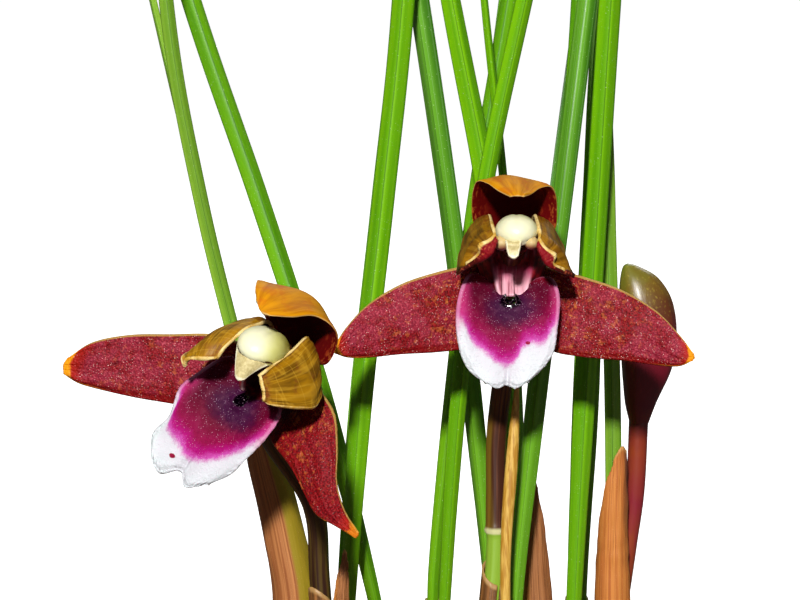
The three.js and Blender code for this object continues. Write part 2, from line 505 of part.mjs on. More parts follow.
// The bud: sepals still closed over each other, with a chin low on its right
function budSolid() {
  const centres = [[23.6, 0, 116], [23.8, 0, 118.5], [24.4, -0.2, 122], [24.5, -0.3, 126], [24.1, -0.2, 130],
    [23.3, 0, 133], [22.3, 0.1, 134.7]];
  const halfWidths = [1.1, 1.9, 2.9, 3.3, 3.1, 2.2, 0.8];
  const halfDepths = [1.1, 1.7, 2.4, 2.7, 2.5, 1.8, 0.7];
  return ringSolid(centres.map(([x, y, z], i) => Array.from({ length: 14 }, (_, j) => {
    const angle = (2 * Math.PI * j) / 14;
    const seam = 1 + 0.05 * Math.cos(3 * angle);
    return new THREE.Vector3(x + halfWidths[i] * seam * Math.cos(angle),
      y + halfDepths[i] * seam * Math.sin(angle), z + 0.25 * halfWidths[i] * Math.cos(angle));
  })));
}

add('bud', budSolid(), 'budMaroon');
const budStalk = [[19.6, 2.4, 69.4], [21.4, 1.6, 90], [22.6, 0.4, 101], [23.3, 0, 108], [23.6, 0, 115.4]];
add('bud_stalk', stemSolid(budStalk.map(vector), [0.9, 0.9, 0.95, 1.1, 1.1], 9, 9), 'budMaroon');

// A young shoot beside the right stalk, still rolled
const youngShoot = [
  [7.9, -18.8, 69.4], [7.6, -18.5, 88], [7.4, -17.9, 103], [8.2, -16.9, 115], [8.7, -16.2, 124],
];
add('young_shoot', stemSolid(youngShoot.map(vector), [0.5, 0.5, 0.4, 0.65, 0.3], 8, 9), 'youngTan');

// The pot's wall leans outward from base to rim
const outerRadius = (z) => THREE.MathUtils.lerp(pot.baseRadius, pot.rimRadius - pot.rimStep, z / pot.height);
const innerRadius = (z) => outerRadius(z) - pot.wall;

// Bark mix, with holes where the rhizomes and stems stand in it
function mediumSolid() {
  const low = pot.floor + clearance;
  const inner = (z) => innerRadius(z) - clearance;
  const body = solidOf(new THREE.LatheGeometry([
    new THREE.Vector2(0, low), new THREE.Vector2(inner(low), low),
    new THREE.Vector2(inner(medium.top - medium.doming), medium.top - medium.doming),
    new THREE.Vector2(20, medium.top), new THREE.Vector2(0, medium.top),
  ], pot.sides).rotateX(Math.PI / 2));
  const chips = Array.from({ length: medium.chips }, (_, i) => {
    const radius = (inner(medium.top) - 8) * Math.sqrt((i + 0.5) / medium.chips);
    const angle = i * goldenAngle;
    const size = 0.7 + 0.5 * random();
    const chip = new THREE.BoxGeometry(medium.chipLength * size, medium.chipWidth * size, medium.chipDepth);
    chip.applyQuaternion(new THREE.Quaternion().setFromEuler(
      new THREE.Euler(0.7 * (random() - 0.5), 0.7 * (random() - 0.5), 2 * Math.PI * random())));
    const height = medium.top - 1 + 1.6 * random();
    return chip.translate(radius * Math.cos(angle), radius * Math.sin(angle), height);
  });
  return [body, ...chips.map(solidOf)].reduce((sum, solid) => sum.add(solid));
}


function hole([x, y]) {
  const depth = medium.holeTop - medium.holeBottom;
  const cut = new THREE.CylinderGeometry(medium.holeRadius, medium.holeRadius, depth, 10);
  return solidOf(cut.rotateX(Math.PI / 2).translate(x, y, medium.holeBottom + depth / 2));
}

const standing = [
  ...Object.values(leaves).map(({ points }) => points[0]),
  ...Object.values(sheaths).map(({ axis }) => axis[0]),
  rightStalk[0], leftStalk[0], budStalk[0], youngShoot[0],
].filter(([, , z]) => z < pot.height);
const planted = Object.values(rhizomes).map((places) => rhizomeSolid(places, bulb.holeMargin));
const bark = [...planted, ...standing.map(hole)].reduce((rest, cut) => rest.subtract(cut), mediumSolid());
const [largestPiece] = bark.decompose().sort((a, b) => b.volume() - a.volume());
add('bark_mix', geometryOf(largestPiece), 'bark');

// The pot, with holes in its floor for water
function potSolid() {
  const rimBottom = pot.height - pot.rimHeight;
  const { baseRadius, rimRadius, height, floor, round } = pot;
  const profile = [
    [0, 0], [baseRadius - round, 0], [outerRadius(round), round], [outerRadius(rimBottom), rimBottom],
    [rimRadius - round, rimBottom], [rimRadius, rimBottom + round], [rimRadius, height - round],
    [rimRadius - round, height], [innerRadius(height) + round, height],
    [innerRadius(height - round), height - round], [innerRadius(floor), floor], [0, floor],
  ];
  const wall = solidOf(new THREE.LatheGeometry(
    profile.map(([r, z]) => new THREE.Vector2(r, z)), pot.sides).rotateX(Math.PI / 2));
  return Array.from({ length: pot.drainCount }, (_, i) => {
    const angle = (2 * Math.PI * i) / pot.drainCount + Math.PI / 2;
    const drain = new THREE.CylinderGeometry(pot.drainRadius, pot.drainRadius, 3 * pot.floor, 20);
    return solidOf(drain.rotateX(Math.PI / 2)
      .translate(pot.drainCircle * Math.cos(angle), pot.drainCircle * Math.sin(angle), 0));
  }).reduce((rest, cut) => rest.subtract(cut), wall);
}

add('pot', geometryOf(potSolid()), 'clay');

export default plant;
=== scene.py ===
import math
import random

import bmesh
import bpy
import numpy as np
from mathutils import Matrix, Vector


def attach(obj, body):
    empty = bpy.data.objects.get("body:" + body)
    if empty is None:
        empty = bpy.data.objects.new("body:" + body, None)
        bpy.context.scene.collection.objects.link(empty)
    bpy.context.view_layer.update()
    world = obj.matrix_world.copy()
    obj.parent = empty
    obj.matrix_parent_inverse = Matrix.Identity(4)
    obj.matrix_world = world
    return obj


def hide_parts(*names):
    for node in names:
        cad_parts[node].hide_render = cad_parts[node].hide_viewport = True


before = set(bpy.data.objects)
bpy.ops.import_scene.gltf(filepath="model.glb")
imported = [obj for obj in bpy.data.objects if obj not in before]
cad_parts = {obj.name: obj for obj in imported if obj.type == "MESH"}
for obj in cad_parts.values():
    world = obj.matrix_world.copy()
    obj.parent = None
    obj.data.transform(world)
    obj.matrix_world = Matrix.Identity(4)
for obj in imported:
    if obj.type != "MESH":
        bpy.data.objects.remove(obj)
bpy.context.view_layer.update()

body = "root"
mm = 0.001               # every place and size below is in millimetres, apart from the stage
scene = bpy.context.scene


def placed(name, data):               # a new object in the scene
    thing = bpy.data.objects.new(name, data)
    scene.collection.objects.link(thing)
    return thing


# Camera: level with the blooms and a little above them
view = {"target": (-4.5, -20, 133.5), "distance": 370, "elevation": 8, "lens": 149.85, "sensor": 36}


def placeCamera():
    camera = placed("camera", bpy.data.cameras.new("camera"))
    tilt = math.radians(view["elevation"])
    back = Vector((0, -math.cos(tilt), math.sin(tilt))) * view["distance"]
    camera.location = (Vector(view["target"]) + back) * mm
    camera.rotation_euler = (math.pi / 2 - tilt, 0, 0)
    camera.data.lens = view["lens"]
    camera.data.sensor_width = view["sensor"]
    camera.data.clip_start = 0.02
    camera.data.clip_end = 60
    scene.camera = camera


placeCamera()
print("camera placed")


# Node graphs, for finishes and for Geometry Nodes
def tone(code):                       # a colour as seen on a screen, made linear
    parts = [int(code[i:i + 2], 16) / 255 for i in (0, 2, 4)]
    return tuple(p / 12.92 if p <= 0.04045 else ((p + 0.055) / 1.055) ** 2.4 for p in parts) + (1.0,)


class Wire:                           # a socket that Python's operators work on
    def __init__(self, graph, socket):
        self.graph = graph
        self.socket = socket

    def maths(self, operation, *values):
        return self.graph.add("ShaderNodeMath", {"operation": operation}, dict(enumerate(values)))

    def __add__(self, other):
        return self.maths("ADD", self, other)

    def __sub__(self, other):
        return self.maths("SUBTRACT", self, other)

    def __mul__(self, other):
        return self.maths("MULTIPLY", self, other)

    def __truediv__(self, other):
        return self.maths("DIVIDE", self, other)

    def __pow__(self, other):
        return self.maths("POWER", self, other)

    def __rsub__(self, other):
        return self.maths("SUBTRACT", other, self)

    def __abs__(self):
        return self.maths("ABSOLUTE", self)

    __radd__ = __add__
    __rmul__ = __mul__

    def fade(self, low, high):        # 0 at low, 1 at high, smooth between
        return self.graph.add("ShaderNodeMapRange", {"interpolation_type": "SMOOTHSTEP"},
                              {"Value": self, "From Min": low, "From Max": high})

    def vector(self, operation, *values, output=0):
        sockets = dict(enumerate((self,) + values))
        return self.graph.add("ShaderNodeVectorMath", {"operation": operation}, sockets, output)

    def scaled(self, amount):         # a vector times a number
        return self.graph.add("ShaderNodeVectorMath", {"operation": "SCALE"}, {0: self, "Scale": amount})

    def beside(self, name):           # another output of the same node
        return Wire(self.graph, self.socket.node.outputs[name])


class Graph:
    def __init__(self, tree):
        self.tree = tree

    def add(self, kind, settings=None, sockets=None, output=0):
        node = self.tree.nodes.new(kind)
        for name, value in (settings or {}).items():
            if name == "stops":
                self.setStops(node, value)
            elif name == "heights":
                self.setHeights(node, value)
            else:
                setattr(node, name, value)
        for key, value in (sockets or {}).items():
            if isinstance(value, Wire):
                self.tree.links.new(value.socket, node.inputs[key])
            else:
                node.inputs[key].default_value = value
        return Wire(self, node.outputs[output]) if node.outputs else node

    def setStops(self, node, stops):
        ramp = node.color_ramp
        while len(ramp.elements) < len(stops):
            ramp.elements.new(0.5)
        for element, (place, colour) in zip(ramp.elements, stops):
            element.position = place
            element.color = colour

    def setHeights(self, node, heights):
        points = node.mapping.curves[0].points
        while len(points) < len(heights):
            points.new(0.5, 0.5)
        for point, place in zip(points, heights):
            point.location = place
        node.mapping.update()

    def xyz(self, x=0.0, y=0.0, z=0.0):
        return self.add("ShaderNodeCombineXYZ", None, {0: x, 1: y, 2: z})


class Finish(Graph):                  # one material
    def __init__(self, name):
        self.material = bpy.data.materials.new(name)
        self.material.use_nodes = True
        super().__init__(self.material.node_tree)
        self.tree.nodes.clear()
        self.place = self.add("ShaderNodeTexCoord", None, None, "Object")

    def field(self, name):
        return self.add("ShaderNodeAttribute", {"attribute_name": name}, None, "Fac")

    def spot(self, size, stretch=(1, 1, 1)):       # object coordinates in units of size millimetres
        factors = tuple(k / (size * mm) for k in stretch)
        return self.place.vector("MULTIPLY", factors)

    def noise(self, where, detail=3.0, rough=0.55):
        return self.add("ShaderNodeTexNoise", None, {"Vector": where, "Scale": 1.0, "Detail": detail,
                                                     "Roughness": rough})

    def cells(self, where):
        return self.add("ShaderNodeTexVoronoi", None, {"Vector": where, "Scale": 1.0})

    def mix(self, first, second, amount):
        first, second = (tone(colour) if isinstance(colour, str) else colour for colour in (first, second))
        return self.add("ShaderNodeMix", {"data_type": "RGBA"}, {0: amount, 6: first, 7: second}, 2)

    def layered(self, colour, *layers):            # each layer is a colour and how much of it shows
        for layer, amount in layers:
            colour = self.mix(colour, layer, amount)
        return colour

    def ramp(self, value, stops):
        stops = [(place, tone(code)) for place, code in stops]
        return self.add("ShaderNodeValToRGB", {"stops": stops}, {"Fac": value})

    def bump(self, height, depth):    # depth in millimetres
        return self.add("ShaderNodeBump", None, {"Height": height, "Distance": depth * mm, "Strength": 1.0})

    def done(self, **sockets):
        names = {"colour": "Base Color", "roughness": "Roughness", "normal": "Normal", "coat": "Coat Weight",
                 "coatRoughness": "Coat Roughness", "specular": "Specular IOR Level",
                 "subsurface": "Subsurface Weight", "subsurfaceScale": "Subsurface Scale",
                 "subsurfaceRadius": "Subsurface Radius", "glow": "Emission Color",
                 "glowStrength": "Emission Strength"}
        shader = self.add("ShaderNodeBsdfPrincipled", None, {names[k]: v for k, v in sockets.items()})
        self.add("ShaderNodeOutputMaterial", None, {"Surface": shader})
        return self.material


# Shapes
def spline(points, places):           # a smooth line through points, at places from 0 to 1
    points = np.asarray(points, float)
    padded = np.concatenate([2 * points[:1] - points[1:2], points, 2 * points[-1:] - points[-2:-1]])
    where = np.clip(places, 0, 1) * (len(points) - 1)
    start = np.minimum(where.astype(int), len(points) - 2)
    t = (where - start).reshape((-1,) + (1,) * (points.ndim - 1))
    before, here, there, after = (padded[start + k] for k in range(4))
    leave, arrive = (there - before) / 2, (after - here) / 2
    return here + leave * t + (3 * (there - here) - 2 * leave - arrive) * t ** 2 \
        + (2 * (here - there) + leave + arrive) * t ** 3


def turnAngles(count):                # a full turn in even steps
    return 2 * math.pi * np.arange(count) / count


def evenGrid(rows, columns):          # how far along and across each point of a grid lies, from 0 to 1
    return np.meshgrid(np.linspace(0, 1, rows), np.linspace(0, 1, columns), indexing="ij")


def ringPoints(x, y, reachX, reachY, angle, z):          # points round an upright line through x and y
    return np.stack([x + reachX * np.cos(angle), y + reachY * np.sin(angle), z + 0 * angle], axis=-1)


def unit(vectors):
    return vectors / np.maximum(np.linalg.norm(vectors, axis=-1, keepdims=True), 1e-9)


def ripple(x, y, seed, waves=5, low=1.0, high=3.0):      # smooth wandering values near -1 to 1
    draw = random.Random(seed)
    total = np.zeros_like(x)
    for _ in range(waves):
        angle = draw.uniform(0, 2 * math.pi)
        pitch = draw.uniform(low, high)
        total += np.sin(2 * math.pi * pitch * (x * math.cos(angle) + y * math.sin(angle))
                        + draw.uniform(0, 2 * math.pi))
    return total / math.sqrt(waves)


def smoothStep(value, low, high):
    t = np.clip((value - low) / (high - low), 0, 1)
    return t * t * (3 - 2 * t)


class Shape:                          # points in millimetres, faces, and values that the finishes read
    def __init__(self):
        self.points = np.zeros((0, 3))
        self.faces = []
        self.fields = {}

    def take(self, points, faces, **fields):
        first = len(self.points)
        self.points = np.concatenate([self.points, points])
        self.faces += [tuple(first + i for i in face) for face in faces]
        for name in set(self.fields) | set(fields):
            old = self.fields.get(name, np.zeros(first))
            new = np.broadcast_to(np.asarray(fields.get(name, 0.0), float), (len(points),))
            self.fields[name] = np.concatenate([old, new])
        return self

    def marked(self, **values):       # gives every point the same value
        for name, value in values.items():
            self.fields[name] = np.full(len(self.points), float(value))
        return self

    def moved(self, place):
        self.points = place(self.points)
        return self


def meshOf(name, points, faces):
    mesh = bpy.data.meshes.new(name)
    mesh.from_pydata([tuple(p) for p in points * mm], [], faces)
    return mesh


def makePiece(name, shape, material, slot, *nodes):
    mesh = meshOf(name, shape.points, shape.faces)
    for fieldName, values in shape.fields.items():
        attribute = mesh.attributes.new(fieldName, "FLOAT", "POINT")
        attribute.data.foreach_set("value", values.astype(np.float32))
    piece = placed(name, mesh)
    dressPiece(piece, material, slot, *nodes)
    return piece


def outward(mesh):                    # faces all point out of the closed body
    shell = bmesh.new()
    shell.from_mesh(mesh)
    bmesh.ops.recalc_face_normals(shell, faces=shell.faces)
    shell.to_mesh(mesh)
    shell.free()


def dressPiece(piece, material, slot, *nodes):
    outward(piece.data)
    piece.data.materials.clear()
    piece.data.materials.append(material)
    piece.data.shade_smooth()
    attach(piece, body)
    if nodes:
        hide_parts(*nodes)


def facingNormal(grid, facing):       # normals on the side of the blade that looks along facing
    normal = unit(np.cross(np.gradient(grid, axis=1), np.gradient(grid, axis=0)))
    turned = normal.reshape(-1, 3).mean(axis=0) @ np.array(facing, float) < 0
    return -normal if turned else normal


def sheet(grid, thickness, facing=(0, -1, 0), relief=None, **extra):
    # A closed blade over a grid of points, with round margins. thickness and relief are in millimetres;
    # relief(across, along, side) lifts the face on each side, where side is 1 in front and -1 behind
    rows, columns = grid.shape[:2]
    along, across = evenGrid(rows, columns)
    lengthwise = np.gradient(grid, axis=0)
    sideways = np.gradient(grid, axis=1)
    normal = facingNormal(grid, facing)
    thick = np.broadcast_to(thickness, (rows, columns))[..., None] / 2
    lift = [relief(across, along, side) if relief else np.zeros_like(across) for side in (1, -1)]
    front = grid + normal * (thick + lift[0][..., None])
    back = grid - normal * (thick + lift[1][..., None])
    rim = [(0, j) for j in range(columns)] + [(i, columns - 1) for i in range(1, rows)]
    rim += [(rows - 1, j) for j in range(columns - 2, -1, -1)] + [(i, 0) for i in range(rows - 2, 0, -1)]
    edge = []
    for i, j in rim:
        out = np.zeros(3)
        if i in (0, rows - 1):
            out += unit(lengthwise[i, j]) * (1 if i else -1)
        if j in (0, columns - 1):
            out += unit(sideways[i, j]) * (1 if j else -1)
        edge.append((front[i, j] + back[i, j]) / 2 + unit(out) * thick[i, j] * 0.8)
    count = rows * columns
    faces = []
    for i in range(rows - 1):
        for j in range(columns - 1):
            a, b = i * columns + j, i * columns + j + 1
            c, d = b + columns, a + columns
            faces += [(a, b, c, d), (count + d, count + c, count + b, count + a)]
    for k, (i, j) in enumerate(rim):
        m, n = rim[(k + 1) % len(rim)]
        here, there = 2 * count + k, 2 * count + (k + 1) % len(rim)
        faces += [(i * columns + j, here, there, m * columns + n),
                  (count + i * columns + j, count + m * columns + n, there, here)]
    points = np.concatenate([front.reshape(-1, 3), back.reshape(-1, 3), np.array(edge)])
    rimAt = tuple(np.array(rim).T)
    fields = {"across": across, "along": along, **extra}
    values = {name: np.concatenate([v.ravel(), v.ravel(), v[rimAt]]) for name, v in fields.items()}
    values["behind"] = np.concatenate([np.zeros(count), np.ones(count), np.full(len(rim), 0.5)])
    return Shape().take(points, faces, **values)


def smoothGrid(rows, steps, columns, bunch=0.0):
    # A fine grid over coarse rows. bunch draws the lines towards the margins
    places = np.linspace(0, 1, columns)
    places = places + bunch * np.sin(2 * math.pi * places) / (-2 * math.pi)
    grid = spline(np.asarray(rows, float), np.linspace(0, 1, steps))
    return spline(grid.transpose(1, 0, 2), places).transpose(1, 0, 2)


def ringBody(rings, **fields):        # a closed body through rings of points, from one end to the other
    rings = np.asarray(rings, float)
    count, sides = rings.shape[:2]
    ends = np.stack([rings[0].mean(axis=0), rings[-1].mean(axis=0)])
    points = np.concatenate([rings.reshape(-1, 3), ends])
    last = (count - 1) * sides
    around = [(j, (j + 1) % sides) for j in range(sides)]
    faces = [(row + j, row + k, row + sides + k, row + sides + j)
             for row in range(0, last, sides) for j, k in around]
    for j, k in around:
        faces += [(count * sides, k, j), (count * sides + 1, last + j, last + k)]
    values = {"along": np.append(np.repeat(np.linspace(0, 1, count), sides), [0, 1])}
    for name, value in fields.items():
        value = np.asarray(value, float).ravel()
        values[name] = np.append(value, [value[0], value[-1]])
    return Shape().take(points, faces, **values)


def tubeRings(route, radii, sides, steps, flat=1.0):      # rings along a route, with little twist
    places = np.linspace(0, 1, steps)
    centres = spline(route, places)
    tangents = unit(np.gradient(centres, axis=0))
    normal = unit(np.cross(tangents[0], (0.0, 1.0, 0.1)))
    rings = []
    angles = turnAngles(sides)[:, None]
    for centre, tangent, radius in zip(centres, tangents, spline(radii, places)):
        normal = unit(normal - tangent * normal.dot(tangent))
        other = np.cross(tangent, normal)
        rings.append(centre + radius * (np.cos(angles) * normal + flat * np.sin(angles) * other))
    return np.array(rings)


def swollen(rings, factors):          # rings widened or narrowed about their own middles
    middle = rings.mean(axis=1, keepdims=True)
    return middle + (rings - middle) * factors


# Sweeping a section along a path, in Geometry Nodes
class NodeGroup(Graph):
    def __init__(self, name, sockets):
        tree = bpy.data.node_groups.new(name, "GeometryNodeTree")
        tree.is_modifier = True
        tree.interface.new_socket("Geometry", in_out="OUTPUT", socket_type="NodeSocketGeometry")
        tree.interface.new_socket("Geometry", in_out="INPUT", socket_type="NodeSocketGeometry")
        for label, kind in sockets.items():
            tree.interface.new_socket(label, in_out="INPUT", socket_type=kind)
        super().__init__(tree)
        self.entry = tree.nodes.new("NodeGroupInput")

    def given(self, label):
        return Wire(self, self.entry.outputs[label])

    def result(self, geometry):       # real faces with their material
        real = self.add("GeometryNodeRealizeInstances", None, {"Geometry": geometry})
        smooth = self.add("GeometryNodeSetShadeSmooth", None, {"Geometry": real})
        dressed = self.add("GeometryNodeSetMaterial", None, {"Geometry": smooth,
                                                             "Material": self.given("Material")})
        self.add("NodeGroupOutput", None, {"Geometry": dressed})
        return self.tree

    def stored(self, geometry, name, value):
        return self.add("GeometryNodeStoreNamedAttribute", {"data_type": "FLOAT", "domain": "POINT"},
                        {"Geometry": geometry, "Name": name, "Value": value})


def grownMesh(source, group, name, values):
    # Runs a node group on an object and keeps its result as a plain mesh object
    modifier = source.modifiers.new("grow", "NODES")
    modifier.node_group = group
    for item in group.interface.items_tree:
        if item.in_out == "INPUT" and item.name in values:
            modifier[item.identifier] = values[item.name]
    bpy.context.view_layer.update()
    evaluated = source.evaluated_get(bpy.context.evaluated_depsgraph_get())
    mesh = bpy.data.meshes.new_from_object(evaluated)
    source.modifiers.remove(modifier)
    bpy.data.objects.remove(source)
    mesh.name = name
    return placed(name, mesh)


def pathCurve(name, points, samples):
    curve = bpy.data.curves.new(name, "CURVE")
    curve.dimensions = "3D"
    line = curve.splines.new("POLY")
    places = spline(points, np.linspace(0, 1, samples)) * mm
    line.points.add(samples - 1)
    for point, place in zip(line.points, places):
        point.co = (*place, 1)
    return placed(name, curve)


leafBlade = {
    "halfWidth": 1.3, "fold": 0.7, "thickness": 0.56, "wave": 0.35, "samples": 60, "rows": 150, "section": 30,
    "widths": [(0, 0), (0.006, 0.6), (0.1, 0.8), (0.2, 1), (0.5, 1), (0.6, 0.97), (0.7, 0.9), (0.8, 0.74),
               (0.9, 0.5), (0.97, 0.24), (1, 0)],
}


def leafGroup():
    # A grid is wrapped round a folded section and laid along the path
    group = NodeGroup("leaf blade", {"Side": "NodeSocketVector", "Half Width": "NodeSocketFloat",
                                     "Fold": "NodeSocketFloat", "Thickness": "NodeSocketFloat",
                                     "Wave": "NodeSocketFloat", "Seed": "NodeSocketFloat",
                                     "Material": "NodeSocketMaterial"})
    flat = group.add("GeometryNodeMeshGrid", None,
                     {"Vertices X": leafBlade["section"], "Vertices Y": leafBlade["rows"]})
    parts = group.add("ShaderNodeSeparateXYZ", None, {0: flat.beside("UV Map")}, "X")
    along = parts.beside("Y")
    turn = parts * (2 * math.pi)
    across = turn.maths("COSINE", turn)
    upper = turn.maths("SINE", turn)
    width = group.add("ShaderNodeFloatCurve", {"heights": leafBlade["widths"]}, {"Value": along})
    path = group.add("GeometryNodeSampleCurve", {"mode": "FACTOR"},
                     {"Curves": group.given("Geometry"), "Factor": along}, "Position")
    tangent = path.beside("Tangent")
    wander = group.add("ShaderNodeTexNoise", {"noise_dimensions": "1D"},
                       {"W": along * 5 + group.given("Seed"), "Scale": 1.0, "Detail": 1.0})
    side = group.given("Side")
    slope = side.vector("DOT_PRODUCT", tangent, output="Value")
    level = side.vector("SUBTRACT", tangent.scaled(slope)).vector("NORMALIZE")
    up = tangent.vector("CROSS_PRODUCT", level)
    fold = (abs(across) ** 1.25) * group.given("Fold") * width
    skin = upper * group.given("Thickness") * 0.5 * (width ** 0.4) * (1.12 - 0.5 * abs(across) ** 3)
    rise = fold + skin + (wander - 0.5) * group.given("Wave")
    reach = across * group.given("Half Width") * width
    place = path.vector("ADD", level.scaled(reach)).vector("ADD", up.scaled(rise))
    bent = group.add("GeometryNodeSetPosition", None, {"Geometry": flat, "Position": place})
    bent = group.stored(group.stored(bent, "across", across), "along", along)
    closed = group.add("GeometryNodeMergeByDistance", None, {"Geometry": bent, "Distance": 2e-6})
    return group.result(closed)


# Leaf finishes: a smooth waxy skin with faint lengthwise veins, and a dark line of painted shade along the
# keel and the thin margins
def leafFinish(name, deep, bright, pale, gloss, seed):
    f = Finish(name)
    across, along = f.field("across"), f.field("along")
    side = f.noise(f.xyz(across * 0.9 + seed, along * 1.3, seed), 2, 0.5)
    veins = f.noise(f.xyz(across * 22 + seed, along * 2, seed), 2, 0.5)
    wide = f.noise(f.spot(22, (1, 1, 0.4)), 2)
    keel = 1 - abs(across).fade(0.015, 0.075)
    colour = f.layered(
        f.mix(deep, bright, side.fade(0.32, 0.58)),
        (pale, veins.fade(0.52, 0.74) * 0.2),
        (deep, wide.fade(0.5, 0.75) * 0.35),
        # painted shade: a dark line down the keel crease and along both thin margins
        ("1C4804", (keel + abs(across).fade(0.87, 0.99)) * 0.55),
        # painted glints: tiny pale flecks of highlight
        ("F0FAD0", f.noise(f.spot(0.18), 2).fade(0.67, 0.73) * 0.3),
        ("A8842A", along.fade(0.985, 1.0) * 0.8),
        # painted light: brighter towards the base of the leaf
        ("A0DC20", along.fade(0.34, 0.12) * 0.15))
    skin = veins * 0.5 + f.noise(f.spot(0.3, (1, 1, 0.25)), 2) * 0.3
    return f.done(colour=colour, roughness=gloss + side * 0.15, normal=f.bump(skin, 0.025), specular=0.28,
                  subsurface=0.1, subsurfaceScale=0.0008, subsurfaceRadius=(0.6, 1.0, 0.2))


leafTones = {
    "bright": leafFinish("leaf bright", "4A8C00", "78B800", "A0D02C", 0.36, 1.7),
    "deep": leafFinish("leaf deep", "3C7A02", "68A806", "90C030", 0.38, 6.1),
    "blue": leafFinish("leaf bluish", "366E0C", "62A020", "B0C89A", 0.3, 9.4),
    "pale": leafFinish("leaf pale", "608E1C", "90BE38", "C4DC7C", 0.34, 14.2),
}

